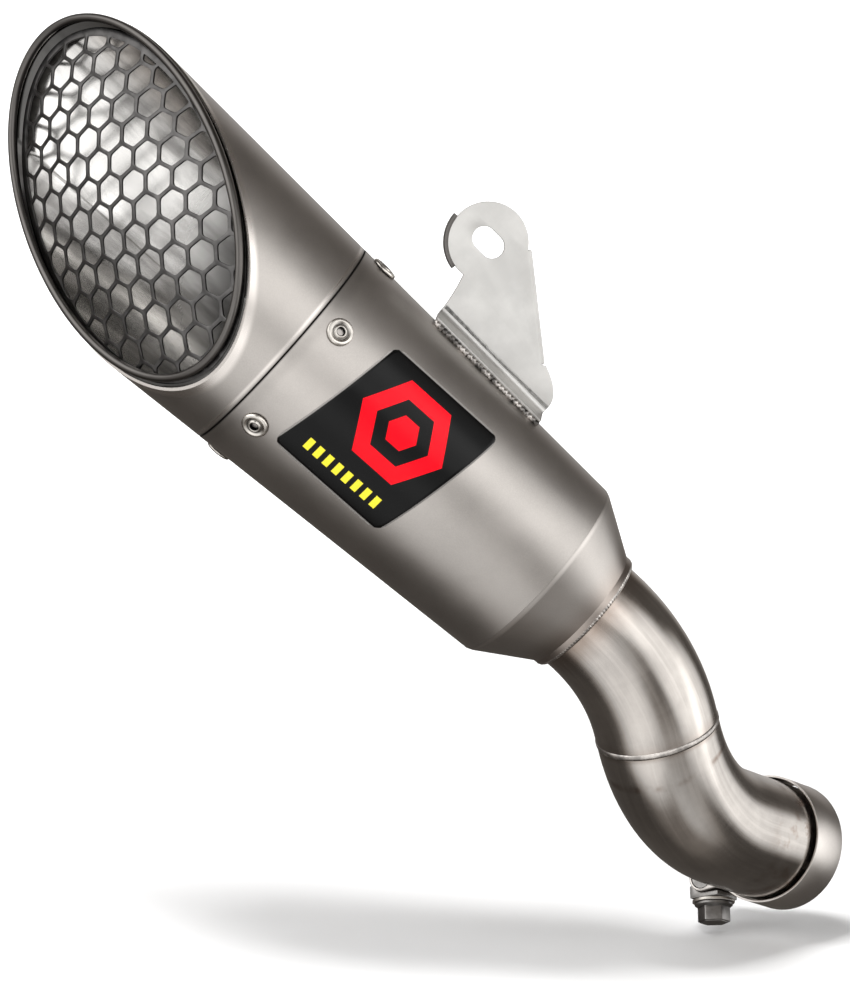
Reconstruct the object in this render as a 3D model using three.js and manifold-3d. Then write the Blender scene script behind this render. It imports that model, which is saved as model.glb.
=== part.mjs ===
// A motorcycle racing silencer with its link pipe: a tapered can with a slash-cut outlet behind a
// domed hexagon screen, a hanger bracket, and a two-bend pipe that ends in a slotted socket and clamp.
// Millimetres, +Z up. The origin is the centre of the socket's mouth.
import * as THREE from "three";
import { mergeGeometries, mergeVertices } from "three/addons/utils/BufferGeometryUtils.js";
import Module from "manifold-3d";

const { degToRad } = THREE.MathUtils;

// ---- Driving dimensions -------------------------------------------------------------------

const clearance = 0.3; // between pieces that rest on each other
const sheet = 1; // wall of the can's outer skin

// Can: heights run along its axis from the neck, diameters are outside.
const neckFit = 1.7; // room round the pipe inside the neck
const neckLip = 2.5;
const inletConeLength = 28;
const sleeveLength = 145;
const seamDiameter = 104.6;
const taper = Math.tan(degToRad(2.95));

// Outlet: a plane cut, steepest towards the long tip.
const cutAngle = degToRad(51.7);
const cutTurn = degToRad(150.7); // long tip, round the can from the badge
const capShortSide = 18.6; // seam to cut on the short side
const rimBead = 3.6; // thickness of the rolled rim
const rimInset = 0.7; // the rim's outer edge inside the can's cone
const linerWall = 0.8;
const screenThickness = 1;
const screenGap = 1.2; // the screen's edge below the rim
const screenDome = 10.8;
const screenBorder = 3.6;
const cellPitch = 13.15;
const cellStrand = 1.7;
const cellTurn = degToRad(-1); // the lattice against the screen's long axis
const cellShift = [5.3, -0.7]; // and its first cell from the screen's centre

// Inside the can
const coreDiameter = 54;
const coreWall = 1;
const coreHole = 9;
const coreHoleRings = 4;
const coreHolesPerRing = 6;
const baffleThickness = 1.2;
const packingGap = 4; // between the packing and the spigot ring
const spigotWall = 2;
const spigotInSleeve = 22;
const spigotInCap = 5;

// Blind rivets through the sleeve into the spigot ring
const rivetCount = 6;
const rivetTurn = degToRad(21); // first rivet, round the can from the badge
const rivetSetback = 11; // from the seam
const rivetFlange = 11.5;
const rivetShank = 6;
const rivetBulb = 8.4;
const rivetMandrel = 3.4;

// Hanger bracket, in a frame that lies on the sleeve: u along the can, h away from it
const bracketSetback = 72; // the bracket's frame below the seam
const bracketSheet = 2;
const hangerU = 37;
const hangerH = 39;
const hangerRadius = 17.2;
const slotWidth = 10.3;
const slotLength = 15.1;
const footReach = 12.8;
const footStart = -30.5;
const footEnd = 31.2;
const footBend = 6; // height of the bend over the sleeve
const lipDepth = 3.2;
const lipWidth = 1.6;

// Badge: a leaning plate with round corners, bent round the sleeve
const badgeSetback = 55.5; // the badge's middle below the seam
const badgeLength = 58.5;
const badgeHeight = 63;
const badgeLean = 12.6;
const badgeCorner = 6;
const badgeThickness = 0.5;
const badgeShift = -1.2; // sideways from the can's badge side

// Link pipe, as a tube bender's table from the socket's mouth
const pipeDiameter = 54;
const pipeWall = 1.2;
const socketHeading = degToRad(-131.2);
const socketRise = degToRad(20.96);
const socketRun = 52.3;
const lowerBend = { radius: 78.2, angle: degToRad(50.2), turn: degToRad(-177.1) };
const weldRunBelow = 3.9;
const weldRunAbove = 4.1;
const upperBend = { radius: 91, angle: degToRad(34.5), turn: degToRad(117.7) };
const neckRun = 4.9;
const canTurn = degToRad(114.2);
const stubInNeck = 6;
const weldGap = 0.4; // between the two pipes, closed by the weld

// Socket slots and clamp. The clamp's frame has X towards its bolt and Y along the bolt.
const slotCount = 4;
const socketSlotWidth = 3;
const slotTurn = degToRad(72.3);
const slotPastBand = 1.6;
const bandWidth = 20.4;
const bandThickness = 1;
const bandClearance = 1.05;
const bandOffset = 0.7; // an open band hangs off centre, away from its bolt
const clampTurn = degToRad(-72.6);
const boltDiameter = 8;
const boltHoleClearance = 0.4;
const boltStandoff = 6.5; // bolt line from the pipe's outside
const loopSpread = 13; // each loop's centre from the clamp's middle
const trunnionWall = 0.6; // left between a trunnion's outside and its bolt hole
const saddleHeight = 2.4;
const washerDiameter = 19.4;
const washerThickness = 1.4;
const headFlange = 17.4;
const headFlangeThickness = 1.4;
const headAcrossFlats = 13;
const headHeight = 7.4;
const boltEnd = 22; // shank's end past the clamp's middle

// ---- Derived places -----------------------------------------------------------------------

const seam = inletConeLength + sleeveLength;
const bracketStation = seam - bracketSetback;
const badgeStation = seam - badgeSetback;
const canRadius = (z) => seamDiameter / 2 + taper * (z - seam);
const cutSlope = Math.tan(cutAngle);
const shortTip = seam + capShortSide;
const cutHeight = shortTip + cutSlope * canRadius(shortTip); // where the cut meets the axis
const shellCut = (rimBead / 2 + clearance) / Math.cos(cutAngle); // skins end below the rim
const linerInset = sheet + clearance;
const screenDepth = rimBead / 2 + screenGap;
const throatRadius = coreDiameter / 2 + clearance;
const pipeRadius = pipeDiameter / 2;
const neckRadius = pipeRadius + neckFit + sheet;
const bandInner = pipeRadius + bandClearance;
const bandMiddle = bandWidth / 2;
const boltOffset = pipeRadius + boltStandoff;
const trunnionRadius = boltDiameter / 2 + boltHoleClearance + trunnionWall;
const loopRadius = trunnionRadius + clearance + bandThickness;

// ---- Shared helpers -----------------------------------------------------------------------

const manifold = await Module();
manifold.setup();

function solid(geometry) {
  const bare = geometry.clone();
  bare.deleteAttribute("normal");
  bare.deleteAttribute("uv");
  const merged = mergeVertices(bare, 1e-4);
  return new manifold.Manifold(new manifold.Mesh({
    numProp: 3,
    vertProperties: new Float32Array(merged.attributes.position.array),
    triVerts: new Uint32Array(merged.index.array),
  }));
}

function toGeometry(body) {
  const mesh = body.getMesh();
  const geometry = new THREE.BufferGeometry();
  geometry.setAttribute("position", new THREE.BufferAttribute(mesh.vertProperties, 3));
  geometry.setIndex(new THREE.BufferAttribute(mesh.triVerts, 1));
  return geometry;
}

const cut = (geometry, ...tools) =>
  toGeometry(tools.reduce((body, tool) => body.subtract(solid(tool)), solid(geometry)));
const join = (geometry, ...more) =>
  toGeometry(more.reduce((body, other) => body.add(solid(other)), solid(geometry)));

// Turns a closed outline of [radius, height] pairs round the Z axis; it runs anticlockwise.
function turned(outline, segments = 40) {
  const points = [...outline, outline[0]].map(([radius, height]) => new THREE.Vector2(radius, height));
  return new THREE.LatheGeometry(points, segments).rotateX(Math.PI / 2);
}

function prism(shape, depth, curveSegments = 12) {
  return new THREE.ExtrudeGeometry(shape, { depth, bevelEnabled: false, curveSegments });
}

function moveVertices(geometry, move) {
  const { position } = geometry.attributes;
  const point = new THREE.Vector3();
  for (let i = 0; i < position.count; i += 1) {
    point.fromBufferAttribute(position, i);
    move(point);
    position.setXYZ(i, point.x, point.y, point.z);
  }
  return geometry;
}

// A rod across a frame, from one point to another.
function rod(radius, from, to, segments = 16) {
  const start = new THREE.Vector3(...from);
  const along = new THREE.Vector3(...to).sub(start);
  const geometry = new THREE.CylinderGeometry(radius, radius, along.length(), segments);
  const turn = new THREE.Quaternion().setFromUnitVectors(
    new THREE.Vector3(0, 1, 0), along.clone().normalize());
  geometry.applyQuaternion(turn);
  const middle = start.addScaledVector(along, 0.5);
  return geometry.translate(middle.x, middle.y, middle.z);
}

const finishes = {
  blasted: { color: 0x97908a, roughness: 0.42, metalness: 1 },
  bright: { color: 0xc4bdb4, roughness: 0.25, metalness: 1 },
  brushed: { color: 0xa39a8e, roughness: 0.3, metalness: 1 },
  dark: { color: 0x4c4844, roughness: 0.4, metalness: 1 },
  bracket: { color: 0xcfccc6, roughness: 0.4, metalness: 1 },
  badge: { color: 0x0c0c0d, roughness: 0.15, metalness: 0 },
  fibre: { color: 0xe2dcc8, roughness: 0.95, metalness: 0 },
  steel: { color: 0x6b6863, roughness: 0.35, metalness: 1 },
};

function piece(parent, name, finish, geometry) {
  const mesh = new THREE.Mesh(geometry, new THREE.MeshStandardMaterial(finishes[finish]));
  mesh.name = name;
  parent.add(mesh);
  return mesh;
}

function frame(parent, { position = [0, 0, 0], rotation = [0, 0, 0], order = "XYZ" } = {}) {
  const group = new THREE.Group();
  group.position.set(...position);
  group.rotation.set(...rotation, order);
  parent.add(group);
  return group;
}

// ---- The chain of frames from the socket to the can ---------------------------------------

const bendEnd = ({ radius, angle }) => ({
  position: [radius * (1 - Math.cos(angle)), 0, radius * Math.sin(angle)],
  rotation: [0, angle, 0],
});

const exhaust = new THREE.Group();
const socket = frame(exhaust, {
  rotation: [0, Math.PI / 2 - socketRise, socketHeading], order: "ZYX",
});
const lowerPlane = frame(socket, { rotation: [0, 0, lowerBend.turn] });
const lowerStart = frame(lowerPlane, { position: [0, 0, socketRun] });
const lowerEnd = frame(lowerStart, bendEnd(lowerBend));
const weldPlane = frame(lowerEnd, { position: [0, 0, weldRunBelow], rotation: [0, 0, upperBend.turn] });
const upperStart = frame(weldPlane, { position: [0, 0, weldRunAbove] });
const upperEnd = frame(upperStart, bendEnd(upperBend));
const can = frame(upperEnd, { position: [0, 0, neckRun], rotation: [0, 0, canTurn] });

// ---- Link pipes ---------------------------------------------------------------------------

// A run, a bend in the XZ plane towards +X, and a run.
class PipeLine extends THREE.Curve {
  constructor(before, bend, after) {
    super();
    Object.assign(this, { before, bend, after, arc: bend.radius * bend.angle });
    this.total = before + this.arc + after;
  }

  getPoint(t, target = new THREE.Vector3()) {
    const { radius, angle } = this.bend;
    const length = t * this.total;
    const turn = THREE.MathUtils.clamp((length - this.before) / radius, 0, angle);
    const run = Math.min(length, this.before) + Math.max(length - this.before - this.arc, 0);
    const beyond = run - Math.min(length, this.before);
    return target.set(
      radius * (1 - Math.cos(turn)) + beyond * Math.sin(turn), 0,
      Math.min(length, this.before) + radius * Math.sin(turn) + beyond * Math.cos(turn));
  }
}

function pipe(line, steps) {
  const section = new THREE.Shape().absarc(0, 0, pipeRadius, 0, 2 * Math.PI);
  section.holes.push(new THREE.Path().absarc(0, 0, pipeRadius - pipeWall, 0, 2 * Math.PI));
  return new THREE.ExtrudeGeometry(section, {
    steps, extrudePath: line, bevelEnabled: false, curveSegments: 10,
  });
}

const lowerPipe = pipe(new PipeLine(socketRun, lowerBend, weldRunBelow - weldGap / 2), 13);
const slotEnd = bandWidth + slotPastBand;
const slotTools = Array.from({ length: slotCount }, (_, i) => {
  const outline = new THREE.Shape();
  outline.moveTo(-socketSlotWidth / 2, -5);
  outline.lineTo(socketSlotWidth / 2, -5);
  outline.absarc(0, slotEnd - socketSlotWidth / 2, socketSlotWidth / 2, 0, Math.PI);
  return prism(outline, pipeRadius + 1, 4)
    .rotateX(Math.PI / 2)
    .rotateZ(Math.PI / 2 + slotTurn - lowerBend.turn + (i * 2 * Math.PI) / slotCount);
});
piece(lowerPlane, "lower_link_pipe", "brushed", cut(lowerPipe, ...slotTools));

const upperPipe = pipe(
  new PipeLine(weldRunAbove - weldGap / 2, upperBend, neckRun + stubInNeck), 9);
piece(weldPlane, "upper_link_pipe", "brushed", upperPipe.translate(0, 0, weldGap / 2));

// ---- Can: skins ---------------------------------------------------------------------------

const coneOverlap = 10; // the cone's spigot inside the sleeve
const coneEnd = inletConeLength + coneOverlap;
const inSleeve = (z) => canRadius(z) - sheet - clearance;
piece(can, "inlet_cone", "blasted", turned([
  [neckRadius, 0],
  [neckRadius, neckLip],
  [canRadius(inletConeLength) - 0.8, inletConeLength - 1.6],
  [canRadius(inletConeLength), inletConeLength - clearance],
  [inSleeve(inletConeLength), inletConeLength - clearance],
  [inSleeve(coneEnd), coneEnd],
  [inSleeve(coneEnd) - sheet, coneEnd],
  [inSleeve(inletConeLength) - sheet, inletConeLength - clearance],
  [neckRadius - sheet, neckLip + sheet],
  [neckRadius - sheet, 0],
]));

const rivetAngle = (i) => rivetTurn + (i * 2 * Math.PI) / rivetCount;
const rivetHeight = seam - rivetSetback;
const rivetHoles = Array.from({ length: rivetCount }, (_, i) => {
  const [c, s] = [Math.cos(rivetAngle(i)), Math.sin(rivetAngle(i))];
  const reach = [canRadius(seam) - sheet - 3 * spigotWall, canRadius(seam) + 5];
  const [from, to] = reach.map((r) => [r * c, r * s, rivetHeight - (r - canRadius(rivetHeight)) * taper]);
  return rod(rivetShank / 2 + clearance, from, to, 8);
});

piece(can, "outer_sleeve", "blasted", cut(turned([
  [canRadius(inletConeLength), inletConeLength],
  [canRadius(seam), seam - clearance],
  [canRadius(seam) - sheet, seam - clearance],
  [canRadius(inletConeLength) - sheet, inletConeLength],
]), ...rivetHoles));

const spigotBottom = seam - spigotInSleeve;
const spigotTop = seam + spigotInCap;
piece(can, "spigot_ring", "bright", cut(turned([
  [inSleeve(spigotBottom), spigotBottom],
  [inSleeve(spigotTop), spigotTop],
  [inSleeve(spigotTop) - spigotWall, spigotTop],
  [inSleeve(spigotBottom) - spigotWall, spigotBottom],
]), ...rivetHoles));

// Slides the vertices above a height up the cone to the slash cut.
function slash(geometry, above) {
  return moveVertices(geometry, (point) => {
    if (point.z < above) return;
    const angle = Math.atan2(point.y, point.x);
    const inset = canRadius(point.z) - Math.hypot(point.x, point.y);
    const lean = cutSlope * Math.cos(angle - cutTurn);
    const crossing = cutHeight - shellCut;
    const radius = (canRadius(crossing) - inset) / (1 - taper * lean);
    point.set(radius * Math.cos(angle), radius * Math.sin(angle), crossing + lean * radius);
  });
}

const aboveCap = cutHeight + 3 * seamDiameter;
piece(can, "outlet_cap", "blasted", slash(turned([
  [canRadius(seam), seam + clearance],
  [canRadius(aboveCap), aboveCap],
  [canRadius(aboveCap) - sheet, aboveCap],
  [canRadius(seam) - sheet, seam + clearance],
]), cutHeight));

// The liner carries the core's end in its throat, opens out in a bell inside the spigot ring, steps
// over the ring's edge and follows the cap's skin up to the cut.
const linerOuter = (z) => canRadius(z) - linerInset;
const insideSpigot = inSleeve(spigotTop) - spigotWall - clearance;
const shoulder = spigotTop + 5;
const linerThroat = [
  [throatRadius + linerWall, seam - 10],
  [throatRadius + linerWall, seam - 4],
];
const linerBell = [
  [throatRadius + 8, seam - 1.5],
  [insideSpigot - 5, spigotTop - 4],
  [insideSpigot, spigotTop + clearance],
];
const linerSkin = [[linerOuter(shoulder), shoulder], [linerOuter(aboveCap), aboveCap]];
const thinner = (outline, rise) => outline.map(([radius, height]) => [radius - linerWall, height + rise]);
const linerOutside = [...linerThroat, ...linerBell, ...linerSkin];
const linerInside = [
  ...thinner(linerThroat, 0), ...thinner(linerBell, linerWall), ...thinner(linerSkin, 0)];
piece(can, "outlet_liner", "bright",
  slash(turned([...linerOutside, ...linerInside.reverse()]), cutHeight));

// ---- Can: rim and screen on the slash cut -------------------------------------------------

// The cut through the cone at a drop below the cut plane is an ellipse.
function cutEllipse(inset, drop) {
  const crossing = cutHeight - drop / Math.cos(cutAngle);
  const base = canRadius(crossing) - inset;
  const long = base / (1 - taper * cutSlope);
  const short = base / (1 + taper * cutSlope);
  const lean = (long - short) / 2;
  return {
    major: (long + short) / (2 * Math.cos(cutAngle)),
    minor: Math.sqrt(long * short),
    centre: [lean * Math.cos(cutTurn), lean * Math.sin(cutTurn), crossing + cutSlope * lean],
  };
}

const rimEllipse = cutEllipse(rimBead / 2 + rimInset, 0);
const cutFrame = (position) => frame(
  frame(can, { position, rotation: [0, 0, cutTurn] }), { rotation: [0, -cutAngle, 0] });
const rimRadius = rimEllipse.minor;
const rim = moveVertices(
  new THREE.TorusGeometry(rimRadius, rimBead / 2, 6, 52), (point) => {
    const angle = Math.atan2(point.y, point.x);
    const out = Math.hypot(point.x, point.y) - rimRadius;
    const normal = new THREE.Vector2(
      rimEllipse.minor * Math.cos(angle), rimEllipse.major * Math.sin(angle)).normalize();
    point.x = rimEllipse.major * Math.cos(angle) + out * normal.x;
    point.y = rimEllipse.minor * Math.sin(angle) + out * normal.y;
  });
piece(cutFrame(rimEllipse.centre), "outlet_rim", "bright", rim);

// The liner leans past the screen's square edge, so the long axis gives way at both faces.
const screenEllipse = cutEllipse(
  linerInset + linerWall + clearance, screenDepth + screenThickness / 2);
screenEllipse.major -= (screenThickness / 2) * cutSlope;
const ellipseShape = ({ major, minor }, border) =>
  new THREE.Shape().absellipse(0, 0, major - border, minor - border, 0, 2 * Math.PI);

function hexagon(centre, acrossFlats, turn = 0) {
  const corners = Array.from({ length: 6 }, (_, corner) => {
    const angle = turn + Math.PI / 6 + (corner * Math.PI) / 3;
    return new THREE.Vector2(Math.cos(angle), Math.sin(angle))
      .multiplyScalar(acrossFlats / Math.sqrt(3)).add(centre);
  });
  return new THREE.Shape(corners);
}

// Cells stand on a triangular lattice whose rows run along the cut's long axis.
function screenCells({ major, minor }) {
  const cells = [];
  const rowStep = (cellPitch * Math.sqrt(3)) / 2;
  const rows = Math.ceil(minor / rowStep);
  const columns = Math.ceil(major / cellPitch);
  for (let row = -rows; row <= rows; row += 1) {
    for (let column = -columns; column <= columns; column += 1) {
      const place = new THREE.Vector2(
        (column + (row % 2 === 0 ? 0 : 0.5)) * cellPitch, row * rowStep)
        .rotateAround(new THREE.Vector2(), cellTurn).add(new THREE.Vector2(...cellShift));
      const reach = Math.hypot(place.x / (major - screenBorder), place.y / (minor - screenBorder));
      if (reach < 1.01) cells.push(hexagon(place, cellPitch - cellStrand, cellTurn));
    }
  }
  return cells;
}

const screenPlate = solid(prism(ellipseShape(screenEllipse, 0), screenThickness, 32)
  .translate(0, 0, -screenThickness / 2));
const screenWindow = solid(
  prism(ellipseShape(screenEllipse, screenBorder), 3 * screenThickness, 32)
    .translate(0, 0, -screenThickness));
const cellPrisms = solid(
  mergeGeometries(screenCells(screenEllipse).map((cell) => prism(cell, 5 * screenThickness)))
    .translate(0, 0, -2 * screenThickness));
const flatScreen = toGeometry(screenPlate.subtract(cellPrisms.intersect(screenWindow)));
const screen = moveVertices(flatScreen, (point) => {
  const reach = Math.hypot(point.x / screenEllipse.major, point.y / screenEllipse.minor);
  point.z += screenDome * (1 - Math.min(reach, 1) ** 2);
});
piece(cutFrame(screenEllipse.centre), "hex_screen", "dark", screen);

// ---- Can: inside --------------------------------------------------------------------------

const endGap = 1; // left at the ends of the packing and the core
const coreStart = stubInNeck + endGap;
const coreEnd = seam - 5; // inside the liner's throat
const coreRadius = coreDiameter / 2;
const frontBaffle = coneEnd + 2 * endGap;
const packingStart = frontBaffle + baffleThickness + endGap;
const packingStop = spigotBottom - packingGap;
const rearBaffle = packingStop + endGap;

const coreHoles = [];
for (let ring = 0; ring < coreHoleRings; ring += 1) {
  const height = packingStart + ((ring + 0.5) * (packingStop - packingStart)) / coreHoleRings;
  for (let i = 0; i < coreHolesPerRing; i += 1) {
    const angle = ((i + (ring % 2) / 2) * 2 * Math.PI) / coreHolesPerRing;
    const [c, s] = [Math.cos(angle), Math.sin(angle)];
    const [near, far] = [coreRadius - 3 * coreWall, coreRadius + coreWall];
    coreHoles.push(rod(coreHole / 2, [near * c, near * s, height], [far * c, far * s, height], 6));
  }
}
const coreWallSolid = turned([
  [coreRadius, coreStart], [coreRadius, coreEnd],
  [coreRadius - coreWall, coreEnd], [coreRadius - coreWall, coreStart],
], 28);
piece(can, "perforated_core", "bright", cut(coreWallSolid, mergeGeometries(coreHoles)));

const around = coreRadius + clearance;
const ring = (bottom, top) => turned([
  [inSleeve(bottom), bottom], [inSleeve(top), top], [around, top], [around, bottom],
], 32);
piece(can, "front_baffle", "bright", ring(frontBaffle, frontBaffle + baffleThickness));
piece(can, "rear_baffle", "bright", ring(rearBaffle, rearBaffle + baffleThickness));
piece(can, "packing_blanket", "fibre", ring(packingStart, packingStop));

// ---- Can: rivets --------------------------------------------------------------------------

const grip = sheet + clearance + spigotWall;
const rivetFloor = -grip - 1; // bottom of the hollow mandrel
const rivetTail = -grip - 3.8;
const rivetProfile = [
  [0, rivetTail],
  [rivetMandrel / 2, rivetTail],
  [rivetBulb / 2, rivetTail + 0.8],
  [rivetBulb / 2, rivetFloor - 0.2],
  [rivetShank / 2, -grip - 2 * clearance],
  [rivetShank / 2, clearance],
  [rivetFlange / 2, clearance],
  [rivetFlange / 2, 1],
  [rivetFlange / 2 - 0.8, 1.4],
  [rivetMandrel / 2 + 0.7, 1.7],
  [rivetMandrel / 2, 1.1],
  [rivetMandrel / 2, rivetFloor],
  [0, rivetFloor],
];
for (let i = 0; i < rivetCount; i += 1) {
  const [c, s] = [Math.cos(rivetAngle(i)), Math.sin(rivetAngle(i))];
  const radius = canRadius(rivetHeight);
  const spot = frame(
    frame(can, { position: [radius * c, radius * s, rivetHeight], rotation: [0, 0, rivetAngle(i)] }),
    { rotation: [0, Math.PI / 2 + Math.atan(taper), 0] });
  piece(spot, `rivet_${i + 1}`, "steel", turned(rivetProfile, 10));
}

// ---- Hanger bracket -----------------------------------------------------------------------

// u runs along the can, h stands off it; the plate's middle is in the plane X = 0.
const bracketFrame = frame(can, {
  position: [0, canRadius(bracketStation), bracketStation], rotation: [-Math.atan(taper), 0, 0],
});
const plateSolid = (shape, back, front, curveSegments = 10) =>
  prism(shape, front - back, curveSegments).rotateY(-Math.PI / 2).translate(front, 0, 0);

// The eye is a round boss; a straight edge with a lip runs from it down to the plate's shoulder.
const eye = new THREE.Vector2(hangerU, hangerH);
const eyeRim = (angle, radius = hangerRadius) =>
  new THREE.Vector2(radius, 0).rotateAround(new THREE.Vector2(), angle).add(eye);
const shoulderU = -15.5;
const shoulderH = 18.3;
const edgeLeaves = degToRad(146); // where the straight edge leaves the eye
const noseLeaves = degToRad(-97); // and where the eye turns down to the foot
const plate = new THREE.Shape();
plate.moveTo(footEnd, footBend);
plate.quadraticCurveTo(footEnd + 1, footBend + 8, ...eyeRim(noseLeaves));
plate.absarc(...eye, hangerRadius, noseLeaves, edgeLeaves, false);
plate.lineTo(shoulderU, shoulderH);
plate.lineTo(shoulderU - 1.9, shoulderH + 1.1);
plate.quadraticCurveTo(footStart + 0.5, shoulderH - 3.3, footStart, footBend + 2);
plate.lineTo(footStart, footBend);
const slot = new THREE.Path();
const slotHalf = (slotLength - slotWidth) / 2;
slot.absarc(hangerU + slotHalf, hangerH, slotWidth / 2, -Math.PI / 2, Math.PI / 2);
slot.absarc(hangerU - slotHalf, hangerH, slotWidth / 2, Math.PI / 2, (3 * Math.PI) / 2);
plate.holes.push(slot);

const lipOverlap = 0.5; // a lip starts inside the plate's edge
const [lipFrom, lipTo] = [degToRad(-80), degToRad(-4)];
const endLip = new THREE.Shape();
endLip.absarc(...eye, hangerRadius + lipWidth, lipFrom, lipTo, false);
endLip.absarc(...eye, hangerRadius - lipOverlap, lipTo, lipFrom, true);

const edgeStart = new THREE.Vector2(shoulderU, shoulderH);
const edgeEnd = eyeRim(edgeLeaves);
const edgeOut = edgeEnd.clone().sub(edgeStart).normalize().rotateAround(
  new THREE.Vector2(), Math.PI / 2);
const sideLip = new THREE.Shape([
  edgeStart.clone().addScaledVector(edgeOut, -lipOverlap),
  edgeEnd.clone().addScaledVector(edgeOut, -lipOverlap),
  edgeEnd.clone().addScaledVector(edgeOut, lipWidth),
  edgeStart.clone().addScaledVector(edgeOut, lipWidth),
]);

// The foot bends out of the plate with a generous radius and lands on the sleeve.
const footOverlap = 2; // the foot's root inside the plate
const footRadius = canRadius(bracketStation + footEnd);
const footLow = Math.sqrt(footRadius ** 2 - footReach ** 2) - footRadius + 2 * clearance;
const half = bracketSheet / 2;
const foot = new THREE.Shape();
foot.moveTo(-half, footBend + footOverlap);
foot.lineTo(-half, footBend);
foot.quadraticCurveTo(-half, footBend - 3.2, half + 1.2, footBend - 4.1);
foot.lineTo(footReach, footLow);
foot.lineTo(footReach + 0.5, footLow + bracketSheet);
foot.lineTo(half + 1.8, footBend - 4.1 + bracketSheet);
foot.quadraticCurveTo(half, footBend - 1.4, half, footBend);
foot.lineTo(half, footBend + footOverlap);
const footSolid = prism(foot, footEnd - footStart, 5).translate(0, 0, footStart);

piece(bracketFrame, "hanger_bracket", "bracket", join(
  plateSolid(plate, -half, half),
  plateSolid(endLip, -half - lipDepth, half, 8),
  plateSolid(sideLip, -half - lipDepth, half),
  footSolid));

// ---- Badge --------------------------------------------------------------------------------

function badgeOutline(length, height, lean, corner) {
  const corners = [[-1, -1], [1, -1], [1, 1], [-1, 1]].map(([along, up]) =>
    new THREE.Vector2((along * length) / 2 - (up * lean) / 2, (up * height) / 2));
  const outline = new THREE.Shape();
  corners.forEach((point, i) => {
    const before = corners[(i + 3) % 4].clone().sub(point).normalize();
    const after = corners[(i + 1) % 4].clone().sub(point).normalize();
    const enter = point.clone().addScaledVector(before, corner);
    const leave = point.clone().addScaledVector(after, corner);
    if (i === 0) outline.moveTo(enter.x, enter.y);
    else outline.lineTo(enter.x, enter.y);
    outline.quadraticCurveTo(point.x, point.y, leave.x, leave.y);
  });
  return outline;
}

const badgeLow = badgeStation - badgeLength;
const badgeHigh = badgeStation + badgeLength;
const overSleeve = (z, height) => canRadius(z) + clearance + height;
const badgeSkin = solid(turned([
  [overSleeve(badgeLow, badgeThickness), badgeLow],
  [overSleeve(badgeHigh, badgeThickness), badgeHigh],
  [overSleeve(badgeHigh, 0), badgeHigh],
  [overSleeve(badgeLow, 0), badgeLow],
]));
const badgeCutter = solid(
  plateSolid(badgeOutline(badgeLength, badgeHeight, badgeLean, badgeCorner), 0, seamDiameter, 5)
    .translate(0, badgeShift, badgeStation));
piece(can, "badge_plate", "badge", toGeometry(badgeSkin.intersect(badgeCutter)));

// ---- Clamp --------------------------------------------------------------------------------

const clamp = frame(socket, { rotation: [0, 0, clampTurn] });

// The outline round two circles, the first one the larger.
function roundTwo(first, firstRadius, second, secondRadius, Kind = THREE.Shape) {
  const heading = Math.atan2(second[1] - first[1], second[0] - first[0]);
  const apart = Math.hypot(second[0] - first[0], second[1] - first[1]);
  const spread = Math.acos((firstRadius - secondRadius) / apart);
  const outline = new Kind();
  outline.absarc(...first, firstRadius, heading + spread, heading - spread + 2 * Math.PI);
  outline.absarc(...second, secondRadius, heading - spread, heading + spread);
  return outline;
}

const loopCentre = (side) => [boltOffset, side * loopSpread];
const bandRadius = bandInner + bandThickness / 2;
const strapMeet = degToRad(38);
const strapEnd = (side) => [
  bandRadius * Math.cos(strapMeet) - bandOffset, side * bandRadius * Math.sin(strapMeet)];
const bandArc = new THREE.Shape();
bandArc.absarc(-bandOffset, 0, bandInner + bandThickness, strapMeet, 2 * Math.PI - strapMeet);
bandArc.absarc(-bandOffset, 0, bandInner, 2 * Math.PI - strapMeet, strapMeet, true);
const loops = [1, -1].map((side) => {
  const outline = roundTwo(loopCentre(side), loopRadius, strapEnd(side), bandThickness / 2);
  outline.holes.push(new THREE.Path().absarc(
    ...loopCentre(side), loopRadius - bandThickness, 0, 2 * Math.PI));
  return prism(outline, bandWidth, 8);
});
const boltPoint = (y) => [boltOffset, y, bandMiddle];
const boltHole = rod(
  boltDiameter / 2 + boltHoleClearance, boltPoint(-2 * loopSpread), boltPoint(2 * loopSpread));
piece(clamp, "clamp_band", "blasted",
  cut(join(prism(bandArc, bandWidth, 16), ...loops), boltHole));

const trunnion = (side) => cut(
  rod(trunnionRadius, [...loopCentre(side), clearance], [...loopCentre(side), bandWidth - clearance]),
  boltHole);
piece(clamp, "clamp_trunnion", "steel", trunnion(1));
piece(clamp, "clamp_nut_bar", "steel", trunnion(-1));

// The saddle spreads the head's load over the loop: flat over the strap, wrapped on the free side.
const saddleHalf = loopRadius + 1.2;
const saddleEnds = 2; // from the band's edges to the saddle's
const saddleInner = loopRadius + clearance;
const saddleTop = loopSpread + loopRadius + saddleHeight;
const saddleWrap = Math.asin((saddleHalf - 1.6) / saddleInner); // leaves a 1.6 mm lip
const saddle = new THREE.Shape();
saddle.moveTo(boltOffset - saddleHalf, loopSpread + saddleInner);
saddle.absarc(...loopCentre(1), saddleInner, Math.PI / 2, Math.PI / 2 - saddleWrap, true);
saddle.lineTo(boltOffset + saddleHalf, loopSpread + saddleInner * Math.cos(saddleWrap));
saddle.lineTo(boltOffset + saddleHalf, saddleTop);
saddle.lineTo(boltOffset - saddleHalf, saddleTop);
piece(clamp, "clamp_saddle", "steel",
  cut(prism(saddle, bandWidth - 2 * saddleEnds, 8).translate(0, 0, saddleEnds), boltHole));

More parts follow.
